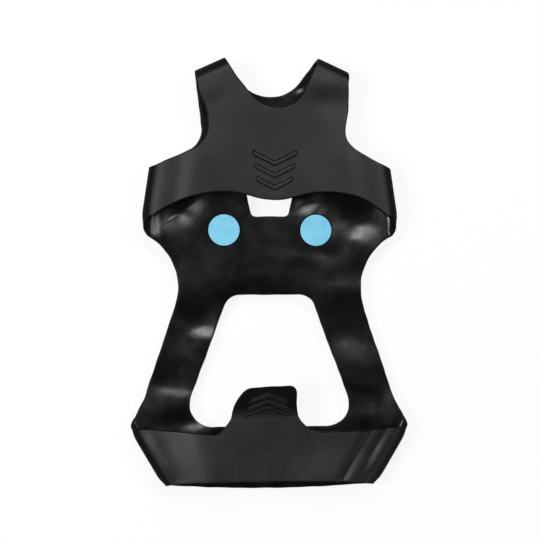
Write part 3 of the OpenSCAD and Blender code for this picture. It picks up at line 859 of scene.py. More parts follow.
# Ripples: height, and their start, crest and end inside the fold
RIPPLES = ((1.0, 11.5, 16.5, 40), (0.7, 5, 8.5, 12), (0.7, -2, 1.5, 5))
PINCH, PINCH_REACH = (1.6, 1.2), 7.0
TAB_BEND, TAB_CURL, TAB_TIP, TAB_EARLY = 5.0, 0.5, 3.0, 0.4
TAB_BEND_Y = TAB_CUT_Y - TAB_EARLY
TAB_LEAN, TAB_SHEAR = -3.7, 0.05
LEAN_ASIDE, LEAN_GROWS = (45, 20), (-96, -66)
ROOT_WIDER, ROOT_Y, ROOT_HALF = 0.1, -78, 4.5
TIP_NARROWER, TIP_GROWS = 0.17, (-72, -60)


def band_wave(x, y):
    """A crown that falls slowly at the left, and in a step and ripples at the right. Then leaning streaks,
    the falls into the heel folds, pinched corners, and the curled tab."""
    heel = inward(x, y, heel_rear, heel_out)
    left = BAND_CROWN * step(heel, *LEFT_FALL)
    right = BAND_CROWN * step(heel, *RIGHT_FALL)
    for tall, *stations in RIPPLES:
        right = right + tall * ridge(heel, *stations)
    height = np.where(x < 0, left, right) + leaning(x, y, BAND_LEANS) - dip(heel, *HEEL_LEAD)
    for depth, corner in zip(PINCH, (band_rear, band_front)):
        height = height - depth * hump(np.hypot(np.abs(x) - corner[0], y - corner[1]) / PINCH_REACH)
    up = TAB_BEND * curl((y - TAB_BEND_Y) / TAB_BEND)
    level = TAB_TIP * curl((y - TAB_TIP_Y) / TAB_TIP + 1)
    return height + TAB_CURL * (up - level)


def leant(grid):
    """The band's plan with its tab leaning to the left, its left side tapered, and the tip's edge rising to
    the right. The lean grows along the band and fades out towards its folds."""
    x, y = grid[..., 0], grid[..., 1]
    aside = step(np.abs(x), *LEAN_ASIDE)
    share = step(y, *LEAN_GROWS) * aside
    taper = ROOT_WIDER * hump((y - ROOT_Y) / ROOT_HALF) * aside - TIP_NARROWER * step(y, *TIP_GROWS)
    return np.stack([x + TAB_LEAN * share + np.minimum(x, 0) * taper, y + TAB_SHEAR * x * share], -1)


tip_rise = float(band_wave(np.array(0.0), TAB_TIP_Y))
print("tip of the tab:", round(tip_rise, 1), "mm above the band's level")

# %% [markdown]
# ## Folds
# A fold is the strip of rubber between the sole and the upper. It could be a half tube, but the wave of
# each panel reaches the fold at a slope of its own. So the strip bends from the one slope to the other,
# and is slanted and blunted at its ends, where the rubber is not held.

# %% Folds between sole and upper
# The painted shade of a fold fades in over this share of its reach
PAINTED_SHADE_FADE, BLUNT_RUN, SLANT_POWER, FOLD_ROWS = 0.5, 4.0, 4, 32
MIRROR = np.array([-1.0, 1.0])


def lifted(grid, level, wave, thickness):
    """Plan points raised to a level plus its waves, as x, y, z, the wall's thickness, and 0 for no painted
    shade.
    """
    x, y = grid[..., 0], grid[..., 1]
    return np.stack([x, y, level + wave(x, y), np.full_like(x, thickness), np.zeros_like(x)], -1)


def fold(sole_line, web_line, out, ends, leads, wave):
    """Bend between two panels. An angle a runs from -90 degrees plus a lead at the sole to 90 less a lead
    at the upper. The share of the way up follows sin a, and the reach is a radius times cos a, less the
    blend of its end values by that share, so both edges are met. At each end the bend slants along the
    line, fading towards its middle, and its reach is blunted by a bell."""
    low = lifted(sole_line, SOLE_MID, sole_wave, SOLE_T)
    high = lifted(web_line, WEB_MID, wave, WEB_T)
    first, last = math.radians(leads[0] - 90), math.radians(90 - leads[1])
    a = np.linspace(first, last, FOLD_ROWS + 1)[:, None, None]
    share = (np.sin(a) - math.sin(first)) / (math.sin(last) - math.sin(first))
    chord = (1 - share) * math.cos(first) + share * math.cos(last)
    deepest = np.max(np.cos(a) - chord)
    bend = (1 - share) * low + share * high
    length = np.linalg.norm(sole_line[-1] - sole_line[0])
    t = np.linspace(0, 1, len(sole_line))[None, :, None]
    (slant_0, blunt_0), (slant_1, blunt_1) = ends
    slant = slant_0 * (1 - t) ** SLANT_POWER + slant_1 * t**SLANT_POWER
    blunt = blunt_0 * hump(t * length / BLUNT_RUN) + blunt_1 * hump((1 - t) * length / BLUNT_RUN)
    reach = FOLD_R * (np.cos(a) - chord) / deepest * (1 - blunt)
    bend[..., :2] += reach * (out + slant * unit(sole_line[-1] - sole_line[0]))
    # Painted shade of the fold: none where it leaves a panel, full where it turns to face outwards
    bend[..., 4:] = ease((np.cos(a) - chord) / PAINTED_SHADE_FADE)
    return bend


def folds(sole_line, web_line, out, ends, lead, wave, plan=np.array, curls=((0, 0), (0, 0))):
    """The right-hand fold and the left-hand one, whose columns are reversed so that it faces outwards. The
    curls of the sole at the left and the right, and the lead of the upper, start and end the bend."""
    left_leads, right_leads = ((sole_curl[0], lead[0]) for sole_curl in curls)
    left = fold(sole_line * MIRROR, plan(web_line * MIRROR), out * MIRROR, ends, left_leads, wave)
    return [fold(sole_line, plan(web_line), out, ends, right_leads, wave), left[:, ::-1]]


print("radius of a fold:", round(FOLD_R, 2), "mm")

# %% [markdown]
# ## From sheets to walls
# The panels are the middle surface of the wall. Blender's Solidify could thicken them, but here the wall
# changes from sole to web and the free edges need a soft rounded rim with a little mould flash, which is
# what an edge of trimmed rubber looks like. So both skins and the rim are worked out at once.
# First the sheets are welded: points that share a place become one.

# %% Weld the sheets
# Points in one cell of this size are one. An odd size lets round numbers miss the cells' borders.
WELD = 0.0137


def welded(grids):
    """All grids as one list of points and quads, with points that share a place made one."""
    points, quads, count = [], [], 0
    for grid in grids:
        rows, columns = grid.shape[:2]
        i = np.arange(rows * columns).reshape(rows, columns) + count
        quads.append(np.stack([i[:-1, :-1], i[:-1, 1:], i[1:, 1:], i[1:, :-1]], -1).reshape(-1, 4))
        points.append(grid.reshape(-1, 5))
        count += rows * columns
    points, quads = np.concatenate(points), np.concatenate(quads)
    cell = np.round(points[:, :3] / WELD).astype(np.int64)
    _, first, place = np.unique(cell, axis=0, return_index=True, return_inverse=True)
    return points[first], place.reshape(-1)[quads]


def point_normals(points, quads):
    """Mean of the normals of the faces round each point, weighted by their areas."""
    a, b, c, d = (points[quads[:, i]] for i in range(4))
    face = np.cross(c - a, d - b)
    normal = np.zeros_like(points)
    for i in range(4):
        np.add.at(normal, quads[:, i], face)
    return normal / np.linalg.norm(normal, axis=1, keepdims=True)


# %% [markdown]
# Each point of the welded sheet then goes out and in by half the thickness, along the mean normal of its
# faces. A free edge belongs to one face only and gets a rim. Edges on a cut stay open, because the next
# piece carries on there.

# %% Walls
RIM_R, RIM_STEPS, FLASH = 0.55, 4, 0.12


def walled(points, quads, cuts):
    """Outer and inner skin half a thickness from the sheet, and along each free edge a rim of two quarter
    rounds. Edges on the cuts, where the next piece carries on, get no rim. Returns points, quads, the
    material of each quad (0 outside, 1 inside), and the painted shade of each point, full on every rim."""
    sheet, half, bend = points[:, :3], points[:, 3:4] / 2, points[:, 4]
    normal = point_normals(sheet, quads)
    n = len(sheet)
    start, end = quads.ravel(), np.roll(quads, -1, axis=1).ravel()
    free = ~np.isin(start * n + end, end * n + start)
    edges = np.stack([start, end], 1)[free]
    on_cut = np.zeros(len(edges), bool)
    for cut in cuts:
        on_cut |= np.all(np.abs(sheet[edges, 1] - cut) < WELD, axis=1)
    edges = edges[~on_cut]

    sideways = np.cross(sheet[edges[:, 1]] - sheet[edges[:, 0]], normal[edges].mean(axis=1))
    sideways /= np.linalg.norm(sideways, axis=1, keepdims=True)
    out = np.zeros_like(sheet)
    np.add.at(out, edges[:, 0], sideways)
    np.add.at(out, edges[:, 1], sideways)
    rim = np.unique(edges)
    out = out[rim] / np.linalg.norm(out[rim], axis=1, keepdims=True)
    x, y = sheet[rim, 0:1], sheet[rim, 1:2]
    # The flash comes and goes along two crossing waves, about 10 and 8.5 mm long
    flash = FLASH * (np.sin(0.53 * x + 0.29 * y) + np.sin(0.31 * x - 0.67 * y + 1)) / 2

    turn = np.radians(np.linspace(90, 0, RIM_STEPS + 1))
    reach = np.concatenate([np.cos(turn[1:]), np.cos(turn[:0:-1])])
    rise = np.concatenate([np.sin(turn[1:]), -np.sin(turn[:0:-1])])
    side = np.repeat([1, -1], RIM_STEPS)
    rows = [
        sheet[rim]
        + out * (RIM_R + flash) * r
        + normal[rim] * (s * (half[rim] - RIM_R) + RIM_R * h)
        for r, h, s in zip(reach, rise, side)
    ]
    all_points = np.concatenate([sheet + normal * half, sheet - normal * half, *rows])

    lookup = np.zeros(n, np.int64)
    lookup[rim] = np.arange(len(rim))
    index = [np.arange(n)]
    index += [2 * n + k * len(rim) + lookup for k in range(len(rows))]
    index += [np.arange(n) + n]
    s, e = edges[:, 0], edges[:, 1]
    rims = [np.stack([a[e], a[s], b[s], b[e]], 1) for a, b in zip(index[:-1], index[1:])]
    all_quads = np.concatenate([quads, quads[:, ::-1] + n, *rims])
    finish = np.zeros(len(all_quads), np.int32)
    finish[len(quads) : 2 * len(quads)] = 1
    # Painted shade: the sheet's value on both skins, and full shade on every rim
    painted_shade = np.concatenate([bend, bend, np.ones(len(rim) * len(rows))]).astype(np.float32)
    return all_points, all_quads, finish, {"bend": painted_shade}


# %% [markdown]
# A mesh object is then a matter of handing the arrays over. Open ends at the cuts are filled, so every
# piece is a closed solid, and edges sharper than a set angle stay crisp.

# %% Mesh helpers
SHARP = math.radians(48)


def mesh_object(name, points, faces, materials, finish=None, marks=None):
    """A mesh at the origin from points in millimetres, faces, the material of each face, and named marks
    of the points that the finishes read."""
    mesh = bpy.data.meshes.new(name)
    mesh.from_pydata((np.asarray(points) * MM).tolist(), [], [list(map(int, f)) for f in faces])
    for material in materials:
        mesh.materials.append(material)
    if finish is not None:
        mesh.polygons.foreach_set("material_index", finish)
    for mark, values in (marks or {}).items():
        mesh.attributes.new(mark, "FLOAT", "POINT").data.foreach_set("value", values)
    made = bpy.data.objects.new(name, mesh)
    bpy.context.scene.collection.objects.link(made)
    return made


def closed(made):
    """Fills the open ends of a mesh and points all its faces outwards."""
    bm = bmesh.new()
    bm.from_mesh(made.data)
    bmesh.ops.holes_fill(bm, edges=[e for e in bm.edges if e.is_boundary], sides=0)
    bmesh.ops.recalc_face_normals(bm, faces=bm.faces)
    bm.to_mesh(made.data)
    bm.free()
    return made


def smooth(made, angle=SHARP):
    """Smooth shading that stays crisp at edges sharper than the angle."""
    made.data.polygons.foreach_set("use_smooth", np.ones(len(made.data.polygons), bool))
    made.data.set_sharp_from_angle(angle=angle)
    return made


# %% [markdown]
# A recess could stay a live Boolean modifier, but here the modifier is applied at once and its cutter
# removed.


# %% Carving, and walls of rubber
def carve(made, cutter):
    """Takes one closed mesh away from another for good, and removes the cutter."""
    tool = made.modifiers.new("carve", "BOOLEAN")
    tool.operation, tool.solver, tool.object = "DIFFERENCE", "EXACT", cutter
    graph = bpy.context.evaluated_depsgraph_get()
    mesh = bpy.data.meshes.new_from_object(made.evaluated_get(graph))
    made.modifiers.clear()
    old, made.data = made.data, mesh
    bpy.data.meshes.remove(old)
    mesh.name = made.name
    bpy.data.objects.remove(cutter)
    return made


def rubber_wall(name, grids, cuts):
    """A closed rubber wall from sheets: satin outside and on its rim, glossy inside."""
    points, quads, finish, marks = walled(*welded(grids), cuts)
    return closed(mesh_object(name, points, quads, [SATIN_RUBBER, GLOSS_RUBBER], finish, marks))


def both(patches):
    """Right-hand patches and their mirror images."""
    return [grid for p in patches for grid in (p, mirrored(p))]


def turned_over(grid):
    """The same sheet facing the other way."""
    return grid[:, ::-1]


# %% [markdown]
# ## Forefoot
# Sole, folds and web are one sheet that goes round the toe of the shoe, so they are one piece here too.
# The web's plan is drifted, and its folds follow it, so nothing opens. The sole is turned over, because
# its outside is below.

# %% Forefoot wall
# At each end of a fold: its slant, and how much it is blunted
shoulder_slant = -math.tan(math.radians(SHOULDER_SLOPE + WING_TILT))
WING_ENDS = ((0.0, 0.3), (shoulder_slant, 0.0))
STRAP_ENDS = ((0.32, 0.0), (-0.1, 0.0))


def sole_sheets(patches):
    """Patches of both sides at the sole's level, facing down."""
    return [turned_over(lifted(p, SOLE_MID, sole_wave, SOLE_T)) for p in both(patches)]


toe_line = strap_base[::-1]
curls = (LEFT_CURL, RIGHT_CURL)
forefoot = rubber_wall(
    "forefoot_moulding",
    sole_sheets(sole_patches)
    + [lifted(drifted(p), WEB_MID, web_wave, WEB_T) for p in both(web_patches)]
    + folds(sole_wing, web_wing, wing_out, WING_ENDS, WING_LEAD, web_wave, drifted, curls)
    + folds(toe_line, toe_line, strap_out, STRAP_ENDS, STRAP_LEAD, web_wave, drifted),
    [WAIST_CUT_Y],
)
print("forefoot wall:", len(forefoot.data.polygons), "faces")

# %% [markdown]
# ## Waist and arms, heel and tab
# The arms are two straps that stretch when the heel is pulled over the shoe, and the waist is where the
# cleat rolls up. They are walls without rims at their cuts, so they pass into their neighbours. The heel
# is a pocket like the toe's: a plate, two folds and a band. The tab stands for itself, because it flexes
# on the band. It curls away from the light, and its shade is painted: its sheet carries the bend mark, darker
# and duller than the band.

# %% Arms, heel and tab walls
waist = rubber_wall("waist_bend", sole_sheets(waist_patches), [WAIST_CUT_Y, ARM_CUT_Y])
arms = rubber_wall("elastic_arms", sole_sheets([arm_patch]), [ARM_CUT_Y, ARM_REAR_Y])
HEEL_ENDS = ((math.tan(math.radians(HEEL_TURN)), 0.25), (-0.3, 0.25))
heel = rubber_wall(
    "heel_moulding",
    sole_sheets(heel_patches)
    + [lifted(leant(p), WEB_MID, band_wave, WEB_T) for p in both([band_patch])]
    + folds(heel_side, band_side, heel_out, HEEL_ENDS, HEEL_LEAD, band_wave),
    [ARM_REAR_Y, TAB_CUT_Y],
)
TAB_SHADE = 7.0
tab_sheets = [lifted(leant(p), WEB_MID, band_wave, WEB_T) for p in tab_patches]
# Painted shade on the tab, growing over TAB_SHADE mm from its cut
for sheet in tab_sheets:
    sheet[..., 4] = ease((sheet[..., 1] - TAB_CUT_Y) / TAB_SHADE)
tab = rubber_wall("pull_tab_moulding", tab_sheets, [TAB_CUT_Y])
for made in (waist, arms, heel, tab):
    print(made.name, len(made.data.polygons), "faces")

# %% [markdown]
# ## Recesses and grooves
# Each stud sits in a round recess of the sole's inner face, with a hair of a gap round its disc. The
# chevrons on the web stand in a narrow groove, which is why they look outlined. Both are carved out of
# the wall with closed cutters: solids of revolution, and a V-shaped bar that is a ring swept along a V.


# %% Solids of revolution and chevron bars
def revolved(name, profile, centres, materials, loop=False, count=64):
    """Profile points (radius, height) carried round an upright axis at each centre. A profile that is a
    loop makes a ring; otherwise its open ends are filled."""
    profile, centres = np.asarray(profile, float), np.asarray(centres, float)
    k, m = len(profile), len(centres)
    round_about = heading(np.arange(count) * 360 / count)
    plan = centres[:, None, None] + profile[None, :, None, 0:1] * round_about[None, None]
    height = np.broadcast_to(profile[None, :, None, 1:2], (m, k, count, 1))
    points = np.concatenate([plan, height], -1).reshape(-1, 3)
    i = np.arange(m * k * count).reshape(m, k, count)
    upper = np.roll(i, -1, axis=1) if loop else i[:, 1:]
    lower = i if loop else i[:, :-1]
    quads = np.stack([lower, np.roll(lower, -1, 2), np.roll(upper, -1, 2), upper], -1).reshape(-1, 4)
    return closed(mesh_object(name, points, quads, materials))


BAR_STEPS, BAR_ROUND, BAR_SQUARE, BAR_END = 72, 20, 0.4, 0.999
APEX_R = 0.5


def chevron_bars(name, middle, apexes, half_widths, bar, slope, way, top, rise, sink, materials):
    """V-shaped bars. Along a bar, s runs from -1 to 1: x is the half width times s from the middle, and y
    climbs from the apex by the slope. Round it, an angle draws a squarish ring, a cosine and a sine to a
    small power, which shrinks to a round end at s = -1 and 1. The ring reaches rise above the surface
    top(x, y) and sink below it."""
    s = np.sin(np.linspace(-np.pi / 2, np.pi / 2, BAR_STEPS + 1))[:, None]
    turn = np.arange(BAR_ROUND) * 2 * np.pi / BAR_ROUND
    ring_y = np.sign(np.cos(turn)) * np.abs(np.cos(turn)) ** BAR_SQUARE
    ring_z = np.sign(np.sin(turn)) * np.abs(np.sin(turn)) ** BAR_SQUARE
    all_points, all_quads = [], []
    for apex, half_w in zip(apexes, half_widths):
        x = half_w * s
        end = np.clip((np.abs(x) - (half_w - bar / 2)) / (bar / 2), 0, BAR_END)
        width = bar / 2 * np.sqrt(1 - end**2)
        climb = (np.hypot(x, APEX_R) - APEX_R) * math.tan(math.radians(slope))
        y = apex + way * (climb + bar / 2) + width * ring_y
        x = np.broadcast_to(x + middle, y.shape)
        z = top(x, y) + np.where(ring_z > 0, rise, sink) * ring_z
        i = np.arange(y.size).reshape(y.shape) + sum(map(len, all_points))
        turned = np.roll(i, -1, axis=1)
        all_quads.append(np.stack([i[:-1], turned[:-1], turned[1:], i[1:]], -1).reshape(-1, 4))
        all_points.append(np.stack([x, y, z], -1).reshape(-1, 3))
    return closed(mesh_object(name, np.concatenate(all_points), np.concatenate(all_quads), materials))


def web_top(x, y):
    """Upper skin of the toe web."""
    return WEB_MID + web_wave(x, y) + WEB_T / 2


def band_top(x, y):
    """Upper skin of the heel band and its tab."""
    return WEB_MID + band_wave(x, y) + WEB_T / 2


# %% [markdown]
# Each recess is cut by a solid of revolution: the hub's bore right through the wall, and a wider step for
# the backing disc. The discs and spikes then sit in them as packed.

# %% Carve the recesses
BACKING_R, BACKING_T, HUB_R = 8.0, 0.8, 3.0
RECESS_GAP, CLEAR = 0.65, 4.0
recess_z = SOLE_IN - BACKING_T
recess_profile = [
    (HUB_R, SOLE_OUT - CLEAR),
    (HUB_R, recess_z),
    (BACKING_R + RECESS_GAP, recess_z),
    (BACKING_R + RECESS_GAP, SOLE_IN + CLEAR),
]
front_studs = [c for name, c in STUDS.items() if not name.startswith("heel")]
heel_studs = [c for name, c in STUDS.items() if name.startswith("heel")]
carve(forefoot, revolved("recess_cutter", recess_profile, front_studs, []))
carve(heel, revolved("recess_cutter", recess_profile, heel_studs, []))
print("recesses:", len(front_studs), "and", len(heel_studs))

# %% [markdown]
# Three chevrons on the web point to the rear, and three on the tab point to its tip. A bar could be a
# bevelled curve, but a ring swept along a V follows the wave of the skin below it. The same sweep with a
# wider ring cuts the groove, in which the bar then stands.

# %% Grooves and chevrons
CHEVRONS, CHEVRON_STEP, CHEVRON_RISE = 3, 1.0, 0.45
CHEVRON_W, CHEVRON_PITCH, CHEVRON_DROP, CHEVRON_BAR, CHEVRON_SLOPE = 11.2, 6.2, 1.4, 1.85, 27.0
TAB_CHEVRON_W, TAB_PITCH, TAB_BAR, TAB_SLOPE = 11.0, 3.4, 1.2, 21.0
TAB_CHEVRON_X, TAB_CHEVRON_Y = -2.0, 0.6
# A groove's width and depth, how far its cutter stands out, and how far a bar goes below the floor
WEB_GROOVE, TAB_GROOVE, CUTTER_OUT, BAR_SINK = (0.55, 0.8), (0.45, 0.6), 1.5, 0.3


def chevrons_in(wall, name, middle, apexes, halves, bar, slope, way, top, groove):
    """Carves a groove round each V into the wall, and makes the bars that stand in it."""
    wide, deep = groove
    cut = (middle, apexes - way * wide, halves + wide, bar + 2 * wide, slope, way, top)
    carve(wall, chevron_bars("groove_cutter", *cut, CUTTER_OUT, deep, []))
    stand = (middle, apexes, halves, bar, slope, way, top)
    return chevron_bars(name, *stand, CHEVRON_RISE, deep + BAR_SINK, [SATIN_RUBBER])


steps = np.arange(CHEVRONS)
web_chevrons = chevrons_in(
    forefoot,
    "web_chevrons",
    WEB_DRIFT,
    web_rear_y + CHEVRON_PITCH * (CHEVRONS - steps) - CHEVRON_DROP,
    CHEVRON_W - CHEVRON_STEP * steps,
    CHEVRON_BAR,
    CHEVRON_SLOPE,
    1,
    web_top,
    WEB_GROOVE,
)
tab_point = TAB_CUT_Y + TAB_CHEVRON_Y + TAB_BAR + TAB_CHEVRON_W * math.tan(math.radians(TAB_SLOPE))
tab_chevrons = chevrons_in(
    tab,
    "tab_chevrons",
    TAB_CHEVRON_X,
    tab_point + TAB_PITCH * steps,
    TAB_CHEVRON_W - CHEVRON_STEP * steps,
    TAB_BAR,
    TAB_SLOPE,
    -1,
    band_top,
    TAB_GROOVE,
)
print("forefoot after carving:", len(forefoot.data.polygons), "faces")

# %% [markdown]
# ## Tread
# Under the sole, diamond lugs stand in clusters of four, in rows. Each lug is a stack of shrinking
# diamonds, so all of them are one array: centres by rows by corners. An Array modifier would repeat them
# too, but it couldn't leave out those that run into a stud collar, the window or the outline, as on the
# real sole.

# %% Lugs
LUG_PITCH, ROW_PITCH, LUG_W, LUG_LEN, LUG_SIDE, LUG_END = 9.9, 14.6, 3.0, 4.4, 2.9, 4.3
LUG_COLUMNS, LUG_ROWS, LUG_FIRST_Y = 6, 6, 15.4
HEEL_LUG_ROWS, HEEL_LUG_FIRST_Y = 2, 11
LUG_Z = tread_low[2]
LUG_LEVELS = np.array([SOLE_OUT + 0.4, SOLE_OUT - 0.7, LUG_Z + 0.5, LUG_Z])
LUG_SHARES = np.array([1.0, 0.94, 0.62, 0.34])


def lug_centres(first_y, rows):
    """Cluster centres at half pitches across and rows along, each with its four lugs around it."""
    across = (np.arange(-LUG_COLUMNS, LUG_COLUMNS) + 0.5) * LUG_PITCH
    along = first_y + ROW_PITCH * np.arange(rows)
    x, y = np.meshgrid(across, along)
    around = np.array([[0, LUG_END], [0, -LUG_END], [LUG_SIDE, 0], [-LUG_SIDE, 0]])
    return (np.stack([x, y], -1)[..., None, :] + around).reshape(-1, 2)


def lugs(name, centres, front_y):
    """Stacks of diamonds: the corners of a diamond times each level's share, at each centre, cut off at
    the front edge."""
    corners = np.array([[LUG_W / 2, 0], [0, LUG_LEN / 2], [-LUG_W / 2, 0], [0, -LUG_LEN / 2]])
    plan = centres[:, None, None] + LUG_SHARES[None, :, None, None] * corners[None, None]
    plan[..., 1] = np.minimum(plan[..., 1], front_y)
    lift = sole_wave(centres[:, 0], centres[:, 1])[:, None, None, None]
    height = np.broadcast_to(LUG_LEVELS[None, :, None, None] + lift, (*plan.shape[:3], 1))
    points = np.concatenate([plan, height], -1).reshape(-1, 3)
    i = np.arange(len(points)).reshape(plan.shape[:3])
    turned = np.roll(i, -1, 2)
    quads = np.stack([i[:, :-1], turned[:, :-1], turned[:, 1:], i[:, 1:]], -1).reshape(-1, 4)
    return closed(mesh_object(name, points, quads, [SATIN_RUBBER]))


# %% [markdown]
# Three tests say which lugs stay. They are true or false for the whole array of centres at once.

# %% Lugs that have room
LUG_MARGIN, TREAD_X, HEEL_TREAD_X, TREAD_REAR = 0.6, 48.5, 39.0, 6
DISC_R, DISC_GAP, COLLAR_RIM = 6.9, 0.15, 1.25
COLLAR_R = DISC_R + DISC_GAP + COLLAR_RIM


def clear_of_studs(p):
    """True where a lug keeps off every stud collar."""
    away = np.linalg.norm(p[:, None] - np.array(list(STUDS.values()))[None], axis=-1)
    return away.min(axis=1) > COLLAR_R + LUG_W / 2


def forefoot_half(y):
    """Half width of the forefoot sole: the armhole's side, the shoulder, the wing, then the waist's arc."""
    rear_y = ARCH_Y - TREAD_REAR
    waist_side = outer_edge[outer_edge[:, 1] > rear_y]
    heights = [rear_y, *waist_side[:, 1], wing_front[1], armhole[1], strap_outer[1]]
    widths = [at_y(outer_edge, rear_y)[0], *waist_side[:, 0], WING_X, ARMHOLE_X, strap_outer[0]]
    return np.interp(y, heights, widths)


def clear_of_window(p):
    """True where a lug lies in front of, behind or beside the window."""
    reach = LUG_LEN / 2 + LUG_MARGIN
    share = (p[:, 1] + LUG_LEN / 2 - window_rear_y) / WINDOW_LEN
    half = WINDOW_REAR_X + (WINDOW_FRONT_X - WINDOW_REAR_X) * share
    beside = np.abs(p[:, 0]) - LUG_W / 2 - LUG_MARGIN > half
    return (p[:, 1] + reach < window_rear_y) | (p[:, 1] - reach > window_front_y) | beside


spots = lug_centres(ARCH_Y + LUG_FIRST_Y, LUG_ROWS)
inside = np.abs(spots[:, 0]) + LUG_W / 2 + LUG_MARGIN < np.minimum(TREAD_X, forefoot_half(spots[:, 1]))
spots = spots[inside & clear_of_studs(spots) & clear_of_window(spots)]
heel_spots = lug_centres(HEEL_REAR_Y + HEEL_LUG_FIRST_Y, HEEL_LUG_ROWS)
inside = np.abs(heel_spots[:, 0]) + LUG_W / 2 < HEEL_TREAD_X
heel_spots = heel_spots[inside & clear_of_studs(heel_spots)]
forefoot_lugs = lugs("forefoot_lugs", spots, TOE_Y)
heel_lugs = lugs("heel_lugs", heel_spots, HEEL_Y - LUG_MARGIN)
print("lugs:", len(spots), "and", len(heel_spots))

# %% [markdown]
# Round each stud the tread rises to a collar with a cup in it, and the blue disc lies in the cup. It is
# turned round the stud's axis like a lathe piece, from one section.

# %% Stud collars
CUP_DEPTH, BORE_R, FOOT_R = 0.8, HUB_R + 0.05, COLLAR_R + 0.6
COLLAR_Z = LUG_Z + 0.2
CUP_R, CUP_Z = DISC_R + DISC_GAP, COLLAR_Z + CUP_DEPTH
# Section of a collar as radius and height: the bore, the cup, the rounded rim, the wall and its foot
collar_profile = [
    (BORE_R, SOLE_OUT + 0.2),
    (BORE_R, CUP_Z),
    (CUP_R, CUP_Z),
    (CUP_R, COLLAR_Z + 0.3),
    (CUP_R + 0.25, COLLAR_Z),
    (COLLAR_R - 0.35, COLLAR_Z),
    (COLLAR_R, COLLAR_Z + 0.4),
    (COLLAR_R + 0.1, SOLE_OUT - 0.6),
    (FOOT_R, SOLE_OUT + 0.1),
    (FOOT_R, SOLE_OUT + 0.3),
]
front_collars = revolved("forefoot_stud_collars", collar_profile, front_studs, [SATIN_RUBBER], loop=True)
heel_collars = revolved("heel_stud_collars", collar_profile, heel_studs, [SATIN_RUBBER], loop=True)
print("collars:", front_collars.name, heel_collars.name)

# %% [markdown]
# ## Studs
# The discs, backing discs and spikes are hard and plain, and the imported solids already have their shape. So
# they are shown as they are, and only get a finish each.

# %% Finishes of the stud nodes
studs = {name: made for name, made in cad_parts.items() if name.startswith(("stud_", "spike_"))}
for name, made in studs.items():
    made.data.materials.clear()
    made.data.materials.append(TURNED_STEEL if name.startswith("spike") else BLUE_POLYMER)
print("stud pieces:", len(studs))

# %% [markdown]
# ## Ride and hide
# Smooth shading goes on every rounded piece. A piece that keeps its shape rides on one body of the cleat:
# the web's chevrons on the toe web, and the collars and lugs on the forefoot and on the heel. The imported
# solids that these pieces and the walls are shown in place of are hidden, and the walls' placings are
# baked into their points.

# %% Smooth shading, riders and hidden solids
rounded = (forefoot, waist, arms, heel, tab, web_chevrons, tab_chevrons, front_collars, heel_collars)
for made in rounded:
    smooth(made)
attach(web_chevrons, "toe_web")
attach(front_collars, "forefoot")
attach(forefoot_lugs, "forefoot")
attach(heel_collars, "heel")
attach(heel_lugs, "heel")
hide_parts("forefoot_tread")
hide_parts("heel_tread")
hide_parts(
    "forefoot_sole",
    "toe_web",
    "toe_fold_left",
    "toe_fold_right",
    "side_fold_left",
    "side_fold_right",
)
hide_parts("arm_left", "arm_right")
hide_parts("heel_sole", "heel_band", "heel_fold_left", "heel_fold_right")
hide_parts("pull_tab")
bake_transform(forefoot)
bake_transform(waist)
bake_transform(arms)
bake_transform(heel)
for made in (tab, tab_chevrons):
    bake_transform(made)

# %% [markdown]
# ## Floor
# The cleat lies on white paper with hardly a shadow. A floor that is lit until it is pure white would
# throw its light back up and grey the black rubber. So the floor is plain matt white for the light, and
# only what the camera and clear reflections see of it is mixed with an even white.

# %% White floor
FLOOR_GLOW, FLOOR_HALF = 0.88, 3000
floor_material, floor_tree, floor_shader, _ = new_material("PaleMattFloor")
floor_shader.inputs["Base Color"].default_value = linear("#fbfbfa")
floor_shader.inputs["Roughness"].default_value = 0.9
path = add(floor_tree, "ShaderNodeLightPath").outputs
either = {"operation": "MAXIMUM"}
seen = add(floor_tree, "ShaderNodeMath", either, {0: path["Is Camera Ray"], 1: path["Is Glossy Ray"]})
seen = add(floor_tree, "ShaderNodeMath", either, {0: seen.outputs[0], 1: path["Is Transmission Ray"]})
seen = add(floor_tree, "ShaderNodeMath", {"operation": "MULTIPLY"}, {0: seen.outputs[0], 1: FLOOR_GLOW})
white = add(floor_tree, "ShaderNodeEmission")
layers = {0: seen.outputs[0], 1: floor_shader.outputs[0], 2: white.outputs[0]}
paper = add(floor_tree, "ShaderNodeMixShader", None, layers)
floor_tree.links.new(paper.outputs[0], floor_tree.nodes["Material Output"].inputs["Surface"])
floor_corners = np.array([[-1, -1, 0], [1, -1, 0], [1, 1, 0], [-1, 1, 0]]) * FLOOR_HALF
floor = mesh_object("floor", floor_corners, [[0, 1, 2, 3]], [floor_material])
floor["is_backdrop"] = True
print("floor:", 2 * FLOOR_HALF * MM, "m wide")

# %% [markdown]
# ## Room and lights
# Black rubber is seen by what it reflects. The room is bright near its horizon, which lights the folds and
# rims, and dark overhead, so that level rubber stays black. Three softboxes make the soft white streaks on
# the rubber that leans towards them: a large one at the left, and smaller ones beyond the toe and at the
# right.

# %% Room and softboxes
world = bpy.data.worlds.new("StudioRoom")
bpy.context.scene.world = world
world.use_nodes = True
sky = world.node_tree
sky.nodes.clear()
around = add(sky, "ShaderNodeTexCoord").outputs["Generated"]
direction = add(sky, "ShaderNodeSeparateXYZ", None, {"Vector": around})
ceiling = add(
    sky,
    "ShaderNodeMapRange",
    {"interpolation_type": "SMOOTHSTEP"},
    {"Value": direction.outputs["Z"], "From Min": 0.14, "From Max": 0.3, "To Min": 1.0, "To Max": 0.032},
)
shine = {"Color": linear("#ffffff"), "Strength": ceiling.outputs["Result"]}
glow = add(sky, "ShaderNodeBackground", None, shine)
add(sky, "ShaderNodeOutputWorld", None, {"Surface": glow.outputs["Background"]})


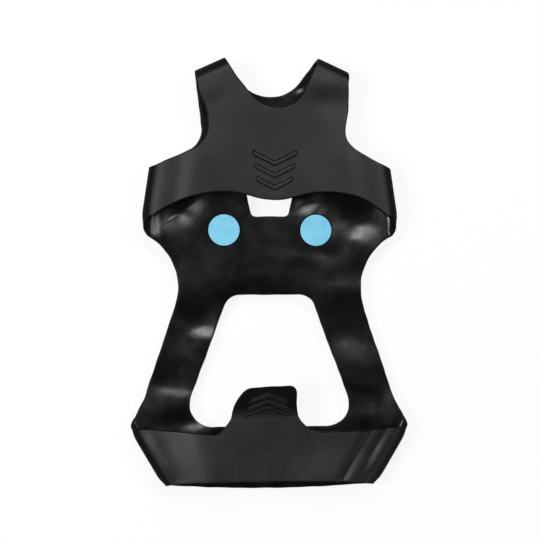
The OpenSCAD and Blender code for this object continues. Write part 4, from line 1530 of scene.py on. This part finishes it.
def softbox(name, place, size, watts):
    """A square area light at a place in metres, aimed at the middle of the cleat."""
    lamp = bpy.data.lights.new(name, "AREA")
    lamp.shape, lamp.size, lamp.energy = "SQUARE", size, watts
    made = bpy.data.objects.new(name, lamp)
    made.location = place
    made.rotation_mode = "QUATERNION"
    made.rotation_quaternion = (-made.location).to_track_quat("-Z", "Y")
    bpy.context.scene.collection.objects.link(made)
    return made


# Place in metres, width in metres and power in watts
SOFTBOXES = {
    "left_softbox": ((-1.02, 0.0, 1.33), 0.65, 18),
    "toe_softbox": ((-0.15, 1.03, 1.33), 0.5, 10),
    "right_softbox": ((0.85, 0.55, 1.34), 0.4, 7),
}
for name, setting in SOFTBOXES.items():
    softbox(name, *setting)
print("softboxes:", list(SOFTBOXES))

# %% [markdown]
# ## Camera
# The view is from above, tilted 5 degrees to the left, which shows a little of the left folds' outside. A
# long lens keeps the sides parallel. Its distance follows from the scale: so many millimetres a pixel,
# times the picture's width, has to fill the sensor.

# %% Camera
PHOTO_PX, MM_PER_PX, LENS, SENSOR = 540, 0.509, 100.0, 36.0
VIEW_TILT, VIEW_Y = math.radians(5.0), 1.5
camera_data = bpy.data.cameras.new("camera")
camera_data.lens, camera_data.sensor_width = LENS, SENSOR
camera = bpy.data.objects.new("camera", camera_data)
distance = PHOTO_PX * MM_PER_PX * MM * LENS / SENSOR
distance += (WEB_MID - SOLE_IN) * MM
height = distance * math.cos(VIEW_TILT) + SOLE_IN * MM
camera.location = (-distance * math.sin(VIEW_TILT), VIEW_Y * MM, height)
camera.rotation_euler = (0, -VIEW_TILT, 0)
bpy.context.scene.collection.objects.link(camera)
bpy.context.scene.camera = camera
bpy.context.scene.view_settings.view_transform = "Standard"
print("camera", round(distance, 3), "m away")

# %% [markdown]
# ## Size of the dressed cleat
# The box of the solids and the box of the dressed cleat are kept side by side, so that a skin that
# strays from the solids is noticed.

# %% Sizes of the dressed cleat, and the end
low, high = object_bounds()
for label, span in (("cad", cad_high - cad_low), ("visual", high - low)):
    print(label, "box", [round(v / MM, 1) for v in span], "mm")
